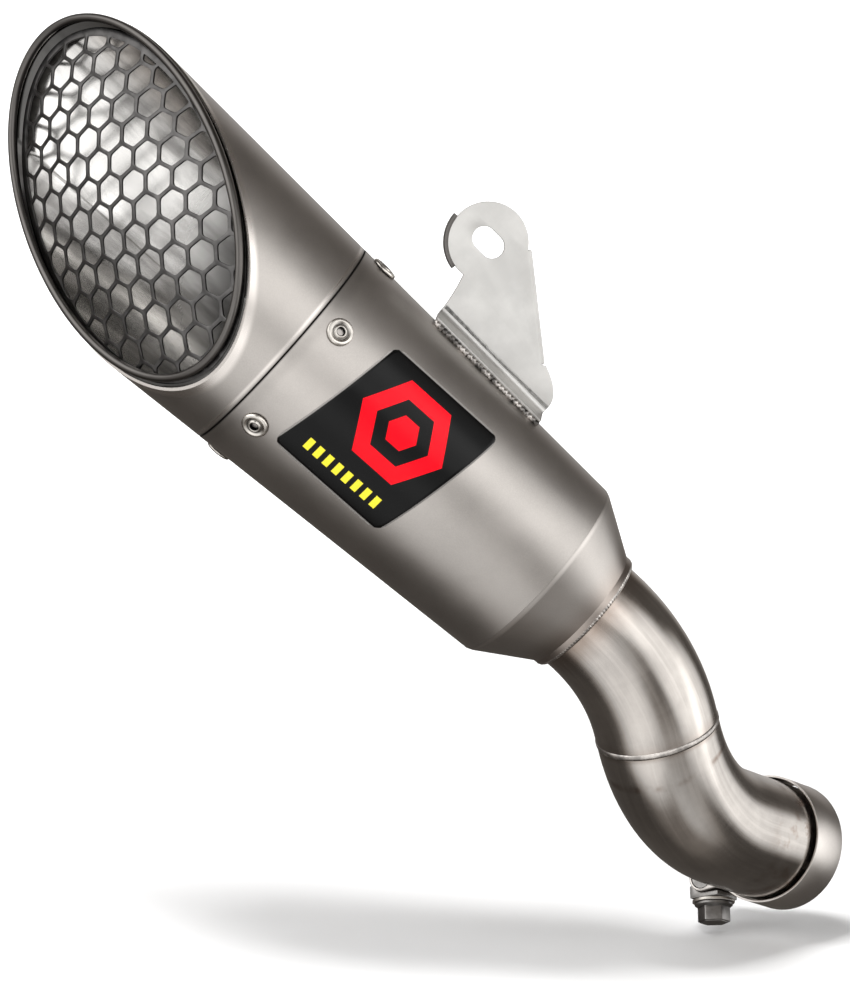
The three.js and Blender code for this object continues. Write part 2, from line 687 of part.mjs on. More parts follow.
// Washer and bolt stand on the saddle; the bolt's frame has Z along the bolt, head up.
const boltFrame = frame(clamp, {
  position: boltPoint(saddleTop + clearance), rotation: [-Math.PI / 2, 0, 0],
});
const boltRadius = boltDiameter / 2;
piece(boltFrame, "clamp_washer", "steel", turned([
  [boltRadius + boltHoleClearance, 0],
  [washerDiameter / 2, 0],
  [washerDiameter / 2, washerThickness],
  [boltRadius + boltHoleClearance, washerThickness],
], 20));

const headSeat = washerThickness + clearance;
const shankEnd = -(saddleTop + clearance + boltEnd);
const shankAndFlange = turned([
  [0, shankEnd],
  [boltRadius - 1, shankEnd],
  [boltRadius, shankEnd + 1],
  [boltRadius, headSeat],
  [headFlange / 2, headSeat],
  [headFlange / 2, headSeat + headFlangeThickness * 0.6],
  [headAcrossFlats / 2, headSeat + headFlangeThickness + 0.6],
  [0, headSeat + headFlangeThickness + 0.6],
], 24);
const headHex = prism(hexagon(new THREE.Vector2(), headAcrossFlats), headHeight)
  .translate(0, 0, headSeat + headFlangeThickness);
piece(boltFrame, "clamp_bolt", "steel", join(shankAndFlange, headHex));

export default exhaust;
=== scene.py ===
"""The looks of a racing silencer: skins, pipes, screen, bracket, badge, rivets and clamp.

Sizes and colours are properties, each group of pieces is one operator, and the panel in the 3D
view's sidebar shows both. Run as a script it builds everything once. Metres throughout.
"""

from math import acos, asin, atan, atan2, ceil, cos, hypot, pi, radians, sin, sqrt, tan

import bmesh
import bpy
from mathutils import Matrix, Vector


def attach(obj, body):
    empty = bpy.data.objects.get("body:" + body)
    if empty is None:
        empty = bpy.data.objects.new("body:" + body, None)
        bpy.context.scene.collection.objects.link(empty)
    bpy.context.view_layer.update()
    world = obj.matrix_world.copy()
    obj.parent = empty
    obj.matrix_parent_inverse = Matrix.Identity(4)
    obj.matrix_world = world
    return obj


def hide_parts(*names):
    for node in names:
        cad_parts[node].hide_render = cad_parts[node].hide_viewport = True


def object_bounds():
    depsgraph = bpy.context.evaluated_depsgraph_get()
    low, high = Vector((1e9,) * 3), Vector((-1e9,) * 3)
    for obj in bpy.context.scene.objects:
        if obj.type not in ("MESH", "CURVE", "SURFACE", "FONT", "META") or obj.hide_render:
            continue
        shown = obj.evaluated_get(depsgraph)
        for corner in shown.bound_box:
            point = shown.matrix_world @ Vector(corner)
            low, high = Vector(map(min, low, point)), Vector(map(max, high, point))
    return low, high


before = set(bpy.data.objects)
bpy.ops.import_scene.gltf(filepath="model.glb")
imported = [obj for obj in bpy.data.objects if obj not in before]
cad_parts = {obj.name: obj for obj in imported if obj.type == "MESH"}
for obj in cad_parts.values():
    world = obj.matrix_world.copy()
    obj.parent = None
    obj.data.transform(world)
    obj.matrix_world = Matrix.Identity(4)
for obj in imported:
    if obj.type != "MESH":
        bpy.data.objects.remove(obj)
cad_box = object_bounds()

bl_info = {
    "name": "Racing Silencer Looks",
    "version": (1, 0, 0),
    "blender": (4, 5, 0),
    "location": "View3D > Sidebar > Silencer",
    "description": "Builds the visible skins, pipes and fasteners of a racing silencer",
    "category": "Object",
}

MM = 0.001

# ---- Driving dimensions, the same as the frame's

CLEARANCE = 0.3 * MM
SHEET = 1 * MM
NECK_RADIUS = 29.7 * MM
NECK_LIP = 2.5 * MM
CONE_END = 28 * MM
SEAM = 173 * MM
SEAM_RADIUS = 52.3 * MM
TAPER = tan(radians(2.95))
CUT_SLOPE = tan(radians(51.7))
CUT_COSINE = cos(radians(51.7))
CUT_TURN = radians(150.7)
CAP_SHORT_SIDE = 18.6 * MM
RIM_BEAD = 3.6 * MM
RIM_INSET = 0.7 * MM
LINER_WALL = 0.8 * MM
CORE_RADIUS = 27 * MM
SPIGOT_TOP = SEAM + 5 * MM
SPIGOT_WALL = 2 * MM
SCREEN_THICKNESS = 1 * MM
SCREEN_DEPTH = 3 * MM
SCREEN_DOME = 10.8 * MM
SCREEN_BORDER = 3.6 * MM
CELL_PITCH = 13.15 * MM
CELL_STRAND = 1.7 * MM
CELL_TURN = radians(-1)
CELL_SHIFT = Vector((5.3 * MM, -0.7 * MM))
PIPE_RADIUS = 27 * MM
PIPE_WALL = 1.2 * MM
LOWER_RUN, LOWER_RADIUS, LOWER_ANGLE = 52.3 * MM, 78.2 * MM, radians(50.2)
UPPER_RUN, UPPER_RADIUS, UPPER_ANGLE = 4.1 * MM, 91 * MM, radians(34.5)
WELD_RUN, NECK_RUN = 3.9 * MM, 4.9 * MM
LOWER_LENGTH = LOWER_RUN + LOWER_RADIUS * LOWER_ANGLE + WELD_RUN
UPPER_LENGTH = UPPER_RUN + UPPER_RADIUS * UPPER_ANGLE + NECK_RUN
STUB_IN_NECK = 6 * MM
RIVET_COUNT = 6
RIVET_TURN = radians(21)
RIVET_HEIGHT = SEAM - 11 * MM
BRACKET_STATION = 101 * MM
BADGE_STATION = 117.5 * MM
BADGE_LENGTH, BADGE_HEIGHT = 58.5 * MM, 63 * MM
BADGE_LEAN = 12.6 * MM
BADGE_SHIFT = -1.2 * MM
BAND_WIDTH, BAND_THICKNESS = 20.4 * MM, 1 * MM
BAND_INNER = PIPE_RADIUS + 1.05 * MM
BAND_OFFSET = 0.7 * MM
BOLT_OFFSET = 33.5 * MM
LOOP_SPREAD, LOOP_RADIUS = 13 * MM, 6.3 * MM
SADDLE_HEIGHT = 2.4 * MM
SADDLE_TOP = LOOP_SPREAD + LOOP_RADIUS + SADDLE_HEIGHT


def can_radius(z):
    return SEAM_RADIUS + TAPER * (z - SEAM)


def in_sleeve(z):
    return can_radius(z) - SHEET - CLEARANCE


SHORT_TIP = SEAM + CAP_SHORT_SIDE
CUT_HEIGHT = SHORT_TIP + CUT_SLOPE * can_radius(SHORT_TIP)
ABOVE_CUT = CUT_HEIGHT + 0.3
SHELL_CUT = (RIM_BEAD / 2 + CLEARANCE) / CUT_COSINE
LINER_INSET = SHEET + CLEARANCE

# ---- Frames along the pipe


def move(x, y, z):
    return Matrix.Translation((x, y, z))


def turn(axis, angle):
    return Matrix.Rotation(angle, 4, axis)


def bend(radius, angle):
    """From a bend's start to its end, turning towards +X."""
    return move(radius * (1 - cos(angle)), 0, radius * sin(angle)) @ turn("Y", angle)


SOCKET = turn("Z", radians(-131.2)) @ turn("Y", radians(90 - 20.96))
LOWER = SOCKET @ turn("Z", radians(-177.1))
WELD = (LOWER @ move(0, 0, LOWER_RUN) @ bend(LOWER_RADIUS, LOWER_ANGLE) @ move(0, 0, WELD_RUN)
        @ turn("Z", radians(117.7)))
CAN = (WELD @ move(0, 0, UPPER_RUN) @ bend(UPPER_RADIUS, UPPER_ANGLE) @ move(0, 0, NECK_RUN)
       @ turn("Z", radians(114.2)))
CLAMP = SOCKET @ turn("Z", radians(-72.6))
BOLT = (CLAMP @ move(BOLT_OFFSET, SADDLE_TOP + CLEARANCE, BAND_WIDTH / 2)
        @ turn("X", -pi / 2))
BRACKET = (CAN @ move(0, can_radius(BRACKET_STATION), BRACKET_STATION)
           @ turn("X", -atan(TAPER)))


def cut_frame(centre):
    return CAN @ Matrix.Translation(centre) @ turn("Z", CUT_TURN) @ turn("Y", -atan(CUT_SLOPE))


def cut_ellipse(inset, drop):
    """The cone's section at a drop below the outlet's cut: long and short half axes and centre."""
    crossing = CUT_HEIGHT - drop / CUT_COSINE
    base = can_radius(crossing) - inset
    high = base / (1 - TAPER * CUT_SLOPE)
    low = base / (1 + TAPER * CUT_SLOPE)
    lean = (high - low) / 2
    centre = Vector((lean * cos(CUT_TURN), lean * sin(CUT_TURN), crossing + CUT_SLOPE * lean))
    return (high + low) / (2 * CUT_COSINE), sqrt(high * low), centre


# ---- Mesh helpers


def straight(length):
    return move(0, 0, length)


def pipe_path(before, radius, angle):
    """A run, a bend towards +X and a run: the frame at each length along it."""
    def at(length):
        if length <= before:
            return move(0, 0, length)
        swept = min((length - before) / radius, angle)
        beyond = length - before - radius * swept
        return move(0, 0, before) @ bend(radius, swept) @ move(0, 0, beyond)
    return at


def rounded(outline, radius, steps=3):
    """The closed outline with each corner turned into a small arc."""
    points = [Vector(point) for point in outline]
    soft = []
    for i, corner in enumerate(points):
        before, after = points[i - 1] - corner, points[(i + 1) % len(points)] - corner
        reach = min(radius, before.length * 0.45, after.length * 0.45)
        enter, leave = corner + before.normalized() * reach, corner + after.normalized() * reach
        soft += [enter, *curve_to(enter, corner, leave, steps)]
    return soft


def refined(outline, longest):
    """The closed outline with its long edges divided."""
    fine = []
    for i, point in enumerate(outline):
        point, after = Vector(point), Vector(outline[(i + 1) % len(outline)])
        count = max(1, ceil((after - point).length / longest))
        fine += [point.lerp(after, step / count) for step in range(count)]
    return fine


def tube_faces(rings, count, closed=True):
    """The faces that join rings of points: round to the first again, or with a cap at both ends."""
    last = (rings - 1) * count
    caps = [] if closed else [tuple(range(count))[::-1], tuple(range(last, last + count))]
    return caps + [(ring * count + i, ring * count + (i + 1) % count,
                    (ring + 1) % rings * count + (i + 1) % count, (ring + 1) % rings * count + i)
                   for ring in range(rings if closed else rings - 1) for i in range(count)]


def mesh_object(name, matrix, vertices, faces, smooth_angle=35, route=None):
    mesh = bpy.data.meshes.new(name)
    mesh.from_pydata([tuple(v) for v in vertices], [], faces)
    mesh.validate()
    if route:
        attribute = mesh.attributes.new("route", "FLOAT_VECTOR", "POINT")
        attribute.data.foreach_set("vector", [c for place in route for c in place])
    return finish_object(name, mesh, matrix, smooth_angle)


def smooth(mesh, angle):
    mesh.polygons.foreach_set("use_smooth", [True] * len(mesh.polygons))
    mesh.set_sharp_from_angle(angle=radians(angle))


def keep_places(mesh):
    """Remembers where each point is in its own piece's frame, for the materials."""
    places = [0.0] * (3 * len(mesh.vertices))
    mesh.vertices.foreach_get("co", places)
    mesh.attributes.new("place", "FLOAT_VECTOR", "POINT").data.foreach_set("vector", places)


def finish_object(name, mesh, matrix, smooth_angle=35):
    """Puts a mesh made in a piece's frame into the row frame as a smooth object."""
    work = bmesh.new()
    work.from_mesh(mesh)
    bmesh.ops.remove_doubles(work, verts=work.verts, dist=1e-6)
    bmesh.ops.recalc_face_normals(work, faces=work.faces)
    work.to_mesh(mesh)
    work.free()
    keep_places(mesh)
    mesh.transform(matrix)
    smooth(mesh, smooth_angle)
    obj = bpy.data.objects.new(name, mesh)
    bpy.context.scene.collection.objects.link(obj)
    return obj


def revolve(name, matrix, outline, segments=160, path=straight, change=None, smooth_angle=35):
    """Turns a closed, anticlockwise [radius, length] outline round a path, as on a lathe."""
    vertices, route = [], []
    for radius, length in outline:
        station = path(length)
        for i in range(segments):
            angle = 2 * pi * i / segments
            spot = polar(radius, angle)
            point = station @ spot.to_3d()
            vertices.append(change(point, angle) if change else point)
            route.append((*spot, length))
    faces = tube_faces(len(outline), segments)
    return mesh_object(name, matrix, vertices, faces, smooth_angle, route)


def plate(name, matrix, outlines, low, high, edge=0.2 * MM, change=None, smooth_angle=40):
    """A flat plate between two heights, from a closed outline and its holes, with soft edges."""
    curve = bpy.data.curves.new(name, "CURVE")
    curve.dimensions = "2D"
    curve.fill_mode = "BOTH"
    curve.extrude = (high - low) / 2 - edge
    curve.bevel_depth = edge
    curve.bevel_resolution = 1
    curve.offset = -edge
    for outline in outlines:
        spline = curve.splines.new("POLY")
        spline.points.add(len(outline) - 1)
        spline.points.foreach_set("co", [c for p in outline for c in (p[0], p[1], 0, 1)])
        spline.use_cyclic_u = True
    holder = bpy.data.objects.new(name, curve)
    bpy.context.scene.collection.objects.link(holder)
    graph = bpy.context.evaluated_depsgraph_get()
    mesh = bpy.data.meshes.new_from_object(holder.evaluated_get(graph))
    bpy.data.objects.remove(holder)
    bpy.data.curves.remove(curve)
    mesh.transform(move(0, 0, (low + high) / 2))
    for vertex in mesh.vertices if change else ():
        vertex.co = change(vertex.co)
    return finish_object(name, mesh, matrix, smooth_angle)


def polar(radius, angle, centre=(0, 0)):
    return Vector((centre[0] + radius * cos(angle), centre[1] + radius * sin(angle)))


def arc(centre, radius, start, end, steps=24):
    return [polar(radius, start + (end - start) * i / steps, centre) for i in range(steps + 1)]


def hexagon(reach, tilt=0.0, centre=(0, 0)):
    return [polar(reach, tilt + pi / 6 + pi / 3 * k, centre) for k in range(6)]


def curve_to(start, control, end, steps=8):
    """Points after the start of a curve with one control point."""
    start, control, end = Vector(start), Vector(control), Vector(end)
    return [start.lerp(control, t).lerp(control.lerp(end, t), t)
            for t in ((i + 1) / steps for i in range(steps))]


def bead(name, matrix, path, size, height, spacing, ripple=0.12, ring=10):
    """A weld bead along a list of (point, outward) pairs, with a ripple for each puddle."""
    vertices, length = [], 0.0
    for i, (point, outward) in enumerate(path):
        point, outward = Vector(point), Vector(outward).normalized()
        after = Vector(path[min(i + 1, len(path) - 1)][0])
        before = Vector(path[max(i - 1, 0)][0])
        along = (after - before).normalized()
        side = along.cross(outward).normalized()
        puddle = (length / spacing) % 1
        swell = 1 + ripple * sqrt(max(0.0, 1 - (2 * puddle - 1) ** 2)) - ripple / 2
        for k in range(ring):
            angle = 2 * pi * k / ring
            vertices.append(point + side * (cos(angle) * size / 2 * swell)
                            + outward * (sin(angle) * height * swell))
        length += (after - point).length
    return mesh_object(name, matrix, vertices, tube_faces(len(path), ring, closed=False), 80)


def dress(obj, material, node=None, body="silencer"):
    """Gives a piece its material, the node it stands for and its body."""
    obj.data.materials.clear()
    obj.data.materials.append(material)
    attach(obj, body)
    if node:
        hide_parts(node)
    return obj


def dress_node(node, material):
    """A frame node that stays in view gets smooth shading and a material of its own."""
    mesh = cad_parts[node].data
    smooth(mesh, 30)
    keep_places(mesh)
    mesh.materials.clear()
    mesh.materials.append(material)


# ---- Shader helpers


def operator_pair(operation):
    """An arithmetic operator of Value and its reflected form."""
    return (lambda self, other: self.maths(operation, other),
            lambda self, other: self.maths(operation, other, reflected=True))


class Value:
    """One output socket of a shader tree, with arithmetic that adds nodes."""

    __add__, __radd__ = operator_pair("ADD")
    __sub__, __rsub__ = operator_pair("SUBTRACT")
    __mul__, __rmul__ = operator_pair("MULTIPLY")
    __truediv__, __rtruediv__ = operator_pair("DIVIDE")

    def __init__(self, tree, socket):
        self.tree, self.socket = tree, socket

    def node(self, kind, inputs, output=0, **settings):
        """Any node: inputs by name or index, the output's name or index, and its settings."""
        made = self.tree.nodes.new(kind)
        for key, value in settings.items():
            setattr(made, key, value)
        for key, value in inputs.items():
            feed(self.tree, made.inputs[key], value)
        return Value(self.tree, made.outputs[output])

    def maths(self, operation, other=0.0, reflected=False):
        """A Math node, or Vector Math for a vector; this value comes first unless reflected."""
        kind = "ShaderNodeVectorMath" if self.socket.type == "VECTOR" else "ShaderNodeMath"
        inputs = {0: other, 1: self} if reflected else {0: self, 1: other}
        return self.node(kind, inputs, operation=operation)

    def part(self, axis):
        return self.node("ShaderNodeSeparateXYZ", {0: self}, output=axis)

    def towards(self, direction):
        """How far a direction points along another, from -1 to 1."""
        return self.node("ShaderNodeVectorMath", {0: self, 1: Vector(direction).normalized()},
                         output="Value", operation="DOT_PRODUCT")

    def noise(self, scale, detail=3.0, rough=0.55, stretch=(1, 1, 1)):
        place = self.maths("MULTIPLY", stretch)
        return self.node("ShaderNodeTexNoise",
                         {"Vector": place, "Scale": scale, "Detail": detail, "Roughness": rough})

    def step(self, low, high):
        """0 below one value, 1 above the other."""
        return self.node("ShaderNodeMapRange", {"Value": self, "From Min": low, "From Max": high},
                         interpolation_type="SMOOTHSTEP")

    def bell(self, centre, width):
        """1 at the centre, falling to 0 at a width from it."""
        return (self - centre).maths("ABSOLUTE").step(width, 0.0)

    def blend(self, first, second):
        """The first colour where this is 0, the second where it is 1."""
        return self.node("ShaderNodeMix", {"Factor": self, 6: first, 7: second}, output=2,
                         data_type="RGBA")

    def tints(self, colour, low, high, dull, bright):
        """A dull tint of the colour below one value and a bright tint above the other."""
        return self.step(low, high).blend(tinted(colour, dull), tinted(colour, bright))

    def bump(self, strength, distance):
        return self.node("ShaderNodeBump",
                         {"Height": self, "Strength": strength, "Distance": distance})


def feed(tree, socket, value):
    if isinstance(value, Value):
        tree.links.new(value.socket, socket)
    elif isinstance(value, (int, float)) and socket.type == "VECTOR":
        socket.default_value = (value, value, value)
    elif socket.type == "RGBA" and len(value) == 3:
        socket.default_value = (*value, 1)
    else:
        socket.default_value = value


def surface(name, paint, **constants):
    """A material: paint(place) returns the varying inputs, by name, of its principled shader."""
    material = bpy.data.materials.new(name)
    material.use_nodes = True
    tree = material.node_tree
    shader = tree.nodes["Principled BSDF"]
    places = tree.nodes.new("ShaderNodeAttribute")
    places.attribute_name = "place"
    for key, value in constants.items():
        feed(tree, shader.inputs[key.replace("_", " ")], value)
    for key, value in paint(Value(tree, places.outputs["Vector"])).items():
        feed(tree, shader.inputs[key], value)
    return material


def tinted(colour, factor):
    return tuple(min(1.0, channel * factor) for channel in colour)


# ---- Materials


def metal(looks, name, layers, marks=None):
    """Metal: layers(place) gives where marks are placed, then its colour, roughness and relief."""
    def paint(place):
        where, base, rough, relief = layers(place)
        if marks:
            base, rough = marks(looks, where, base, rough)
        return {"Base Color": base, "Roughness": rough, "Normal": relief}

    return surface(name, paint, Metallic=1.0)


def blasted_titanium(looks, name, marks=None, shade=1.0):
    """Bead-blasted sheet: a fine sparkle, soft clouds and a few rub marks."""
    colour = tinted(looks.titanium, shade)

    def layers(place):
        grain, clouds = place.noise(2600.0, 2.0), place.noise(22.0, 4.0, 0.6)
        rubs = place.noise(60.0, 3.0, 0.6, (1, 1, 0.12)).step(0.62, 0.78)
        base = clouds.tints(colour, 0.3, 0.72, 0.9, 1.08)
        base = (grain.step(0.35, 0.7) * 0.35).blend(base, tinted(colour, 1.25))
        rough = clouds * 0.12 + looks.blast_roughness - rubs * 0.05
        return place, base, rough, grain.bump(0.28, 0.05 * MM)

    return metal(looks, name, layers, marks)


def brushed_titanium(looks, name, marks):
    """Pipe: lengthwise drawing lines, faint cross polish and a warm heat tint."""
    def layers(place):
        route = place.node("ShaderNodeAttribute", {}, "Vector", attribute_name="route")
        drawn = route.noise(520.0, 3.0, 0.6, (1, 1, 0.03))
        polish = route.noise(900.0, 2.0, 0.5, (0.05, 0.05, 1))
        base = route.noise(26.0, 4.0, 0.65).tints(looks.pipe, 0.32, 0.7, 0.82, 1.12)
        base = (drawn.step(0.4, 0.7) * 0.3).blend(base, tinted(looks.pipe, 1.3))
        rough = drawn * 0.12 + polish * 0.08 + looks.brushed_roughness
        return route, base, rough, (drawn * 0.6 + polish * 0.4).bump(0.16, 0.05 * MM)

    return metal(looks, name, layers, marks)


def worn_metal(looks, name, colour, grain, clouds, tints, gloss, bump, marks=None):
    """Metal with a grain in its gloss and relief, and clouds in its colour and gloss."""
    def layers(place):
        fine, soft = place.noise(*grain), place.noise(*clouds)
        rough = fine * gloss[0] + soft * gloss[1] + gloss[2]
        return place, soft.tints(colour, *tints), rough, fine.bump(*bump)

    return metal(looks, name, layers, marks)


def bright_titanium(looks, name, colour, roughness=0.2, marks=None):
    """Formed sheet left bright: faint lines round it and cloudy wear."""
    return worn_metal(looks, name, colour, (700.0, 3.0, 0.6, (0.04, 0.04, 1)), (30.0, 4.0),
                      (0.35, 0.7, 0.85, 1.05), (0.08, 0.08, roughness), (0.08, 0.03 * MM), marks)


def bracket_titanium(looks):
    """Cut plate: faint rolling lines and cloudy wear."""
    return worn_metal(looks, "bracket_titanium", looks.bracket, (900.0, 3.0, 0.6, (1, 0.1, 0.1)),
                      (45.0, 4.0), (0.35, 0.7, 0.88, 1.05), (0.08, 0.1, 0.42), (0.12, 0.03 * MM))


def steel(looks, name, colour, roughness, marks=None):
    """Plated fastener: tiny pits, turned lines and worn edges."""
    return worn_metal(looks, name, colour, (1400.0, 3.0), (160.0, 3.0),
                      (0.35, 0.68, 0.75, 1.2), (0.15, 0.1, roughness), (0.2, 0.04 * MM), marks)


def weld_metal(looks, name="weld_metal", dull=0.75, bright=1.6):
    """A weld bead: straw and brown oxide over bright ripples."""
    return worn_metal(looks, name, looks.titanium, (900.0, 3.0), (240.0, 3.0),
                      (0.35, 0.7, dull, bright), (0.2, 0.0, 0.28), (0.5, 0.1 * MM))


def fibre():
    """Packing: woolly strands in pale straw."""
    def paint(place):
        strands = place.noise(300.0, 5.0, 0.7, (1, 1, 0.2))
        base = strands.step(0.3, 0.7).blend((0.62, 0.57, 0.45), (0.9, 0.86, 0.76))
        return {"Base Color": base, "Roughness": strands * 0.1 + 0.85,
                "Normal": strands.bump(0.8, 1 * MM)}

    return surface("packing_fibre", paint)


def from_axis(place):
    """How far a point is from a piece's own axis."""
    return (place.part("X").maths("POWER", 2.0) + place.part("Y").maths("POWER", 2.0)).maths("SQRT")


def below_cut(place):
    """How far a point of the can is under the slash cut."""
    lean = place.part("X") * cos(CUT_TURN) + place.part("Y") * sin(CUT_TURN)
    return (lean * CUT_SLOPE - place.part("Z") + CUT_HEIGHT) * CUT_COSINE


def liner_painted_light(looks, place, base, rough):
    """Painted reflection streaks, painted shade deep in the throat and a painted shadow band under the
    rim.
    """
    depth = below_cut(place)
    # painted shade: darker near the axis in the throat and deep under the cut
    throat = from_axis(place).step(49 * MM, 37 * MM) * 0.95
    deep_shade = throat.maths("MAXIMUM", depth.step(46 * MM, 74 * MM) * 0.9)
    # painted shadow: a dark band just under the rim
    band = depth.step(7.5 * MM, 4 * MM) * 0.9
    # painted reflection: dark streaks running along the axis
    reflection_streaks = place.noise(40.0, 4.0, 0.6, (1, 1, 0.25)).step(0.45, 0.7) * 0.75
    base = reflection_streaks.blend(base, tinted(looks.titanium, 0.35))
    return deep_shade.maths("MAXIMUM", band).blend(base, (0.012, 0.011, 0.010)), rough + deep_shade * 0.3


def rivet_painted_shade(looks, place, base, rough):
    """Painted shade: black in the hole in the middle and a dark ring in the dish round it."""
    radius = from_axis(place)
    hole = radius.step(2.05 * MM, 1.75 * MM)
    # painted shade: a dark ring in the dish round the hole
    base = (radius.bell(3.2 * MM, 0.7 * MM) * 0.85).blend(base, tinted(looks.rivet, 0.08))
    # painted shade: black in the hole
    return hole.blend(base, (0.004, 0.004, 0.004)), rough + hole * 0.4


def seam_stain_and_shading(looks, place, base, rough):
    """Painted shade in the groove at the seam, a painted highlight on the rolled edge beside it and a
    stain below.
    """
    height = place.part("Z")
    edge = height.bell(SEAM + 1.9 * MM, 1.2 * MM)
    stain = height.bell(SEAM - 3 * MM, 5 * MM) * place.noise(120.0, 3.0)
    base = (stain * 0.5).blend(base, tinted(looks.titanium, 0.55))
    # painted highlight along the rolled edge
    base = (edge * 0.8).blend(base, tinted(looks.titanium, 1.6))
    # painted shade in the seam's groove between cap and sleeve
    base = height.bell(SEAM, 0.95 * MM).blend(base, tinted(looks.titanium, 0.06))
    return base, rough - edge * 0.1


def cap_marks(looks, place, base, rough):
    """The seam's stain, painted shade and painted highlight, and a polished lip along the cut."""
    base, rough = seam_stain_and_shading(looks, place, base, rough)
    lip = below_cut(place).step(5.5 * MM, 3.5 * MM)
    return (lip * 0.8).blend(base, tinted(looks.titanium, 1.7)), rough - lip * 0.1


def cone_heat_and_highlight(looks, place, base, rough):
    """Darker towards the neck, where heat and handling show, with a painted highlight along the
    crease.
    """
    height = place.part("Z")
    heat = height.step(14 * MM, 0.0) * (place.noise(90.0, 3.0) * 0.6 + 0.4)
    base = (heat * 0.55).blend(base, tinted(looks.heat, 0.9))
    # painted highlight where the crease catches the light
    edge = height.bell(CONE_END - 1 * MM, 1.2 * MM)
    return (edge * 0.7).blend(base, tinted(looks.titanium, 1.3)), rough - heat * 0.08


def tube_seam(looks, route, base, side, strength, shade):
    """The line where a tube was rolled and welded, a little to one side."""
    seam = route.part("Y").bell(side, 0.35 * MM) * route.part("X").step(0.0, 1 * MM)
    return (seam * strength).blend(base, tinted(looks.pipe, shade))


def upper_marks(looks, route, base, rough):
    """Heat tint round the neck weld and the mid weld, and the tube's own seam line."""
    along = route.part("Z")
    heat = along.bell(UPPER_LENGTH, 16 * MM) + along.bell(0.0, 7 * MM) * 0.6
    base = (heat * route.noise(70.0, 3.0)).blend(base, looks.heat)
    return tube_seam(looks, route, base, 0.0, 0.6, 0.4), rough


def lower_marks(looks, route, base, rough):
    """A faint heat ring below the mid weld and a mottled brown patch towards the clamp."""
    along = route.part("Z")
    patches = route.noise(60.0, 3.0).step(0.45, 0.65)
    ring = along.bell(LOWER_LENGTH - 13 * MM, 2.2 * MM) * patches * 0.7
    base = (ring + along.bell(LOWER_LENGTH, 4 * MM) * 0.6).blend(base, tinted(looks.heat, 0.8))
    mottle = along.step(60 * MM, 20 * MM) * route.noise(85.0, 5.0, 0.7).step(0.48, 0.68) * 0.85
    base = mottle.blend(base, looks.heat)
    return tube_seam(looks, route, base, 6 * MM, 0.7, 0.35), rough + mottle * 0.1


def badge_enamel(looks):
    """Gloss black with a thin pale edge, a hexagon ring in red and a row of yellow dashes."""
    def paint(place):
        along, up = place.part("Z") - BADGE_STATION, place.part("Y") - BADGE_SHIFT
        lean = along + up * (BADGE_LEAN / BADGE_HEIGHT)
        distance = hexagon_distance(along + 2 * MM, up - 6 * MM)
        ring = distance.bell(15.5 * MM, 4.2 * MM).step(0.08, 0.14)
        hub = distance.step(6.6 * MM, 6.2 * MM)
        emblem = ring.maths("MAXIMUM", hub)
        shifted = along - 5 * MM
        dash = (shifted / (5.2 * MM)).maths("FRACT").bell(0.5, 0.36).step(0.1, 0.2)
        inside = shifted.maths("ABSOLUTE").step(21.0 * MM, 20.6 * MM)
        row = (up + 22.5 * MM).bell(0.0, 3 * MM).step(0.05, 0.1) * dash * inside
        reach = (lean / (BADGE_LENGTH / 2)).maths("ABSOLUTE").maths(
            "MAXIMUM", (up / (BADGE_HEIGHT / 2)).maths("ABSOLUTE"))
        rim = reach.step(0.968, 0.985)
        base = emblem.blend((0.002, 0.002, 0.002), looks.emblem)
        base = row.blend(base, looks.dashes)
        base = rim.blend(base, (0.2, 0.19, 0.18))
        dust = place.noise(900.0, 3.0)
        return {"Base Color": base, "Roughness": dust * 0.08 + 0.12,
                "Normal": dust.bump(0.03, 0.02 * MM)}

    return surface("badge_enamel", paint, Coat_Weight=0.05, Coat_Roughness=0.05,
                   Specular_IOR_Level=0.12)


def hexagon_distance(x, y):
    """How far a point is from a hexagon's middle, measured across its flats."""
    flat = y.maths("ABSOLUTE")
    slant = x.maths("ABSOLUTE") * cos(pi / 6) + flat * 0.5
    return flat.maths("MAXIMUM", slant)


# ---- Properties


def colour(name, default, description):
    return bpy.props.FloatVectorProperty(
        name=name, description=description, subtype="COLOR", size=3, min=0, max=1, default=default)


def number(name, default, description, **options):
    return bpy.props.FloatProperty(name=name, description=description, default=default, **options)


class SilencerLooks(bpy.types.PropertyGroup):
    titanium: colour("Titanium", (0.40, 0.375, 0.352), "Bead-blasted skins")
    pipe: colour("Pipe", (0.45, 0.42, 0.39), "Brushed link pipe")
    bright: colour("Bright", (0.92, 0.90, 0.87), "Formed sheet behind the screen")
    bracket: colour("Bracket", (0.58, 0.57, 0.55), "Hanger bracket")
    dark: colour("Dark", (0.085, 0.082, 0.08), "Screen strands")
    fastener: colour("Fastener", (0.26, 0.25, 0.24), "Bolt, saddle and trunnions")
    rivet: colour("Rivet", (0.55, 0.52, 0.48), "Blind rivets and washer")
    heat: colour("Heat tint", (0.20, 0.13, 0.09), "Brown oxide near the welds")
    emblem: colour("Emblem", (0.90, 0.0, 0.008), "Hexagon ring on the badge")
    dashes: colour("Dashes", (0.80, 0.70, 0.04), "Row of dashes on the badge")
    blast_roughness: number("Blast roughness", 0.31, "How matt the blasted skins are",
                            subtype="FACTOR", min=0, max=1)
    brushed_roughness: number("Brushed roughness", 0.09, "How matt the pipes are",
                              subtype="FACTOR", min=0, max=1)


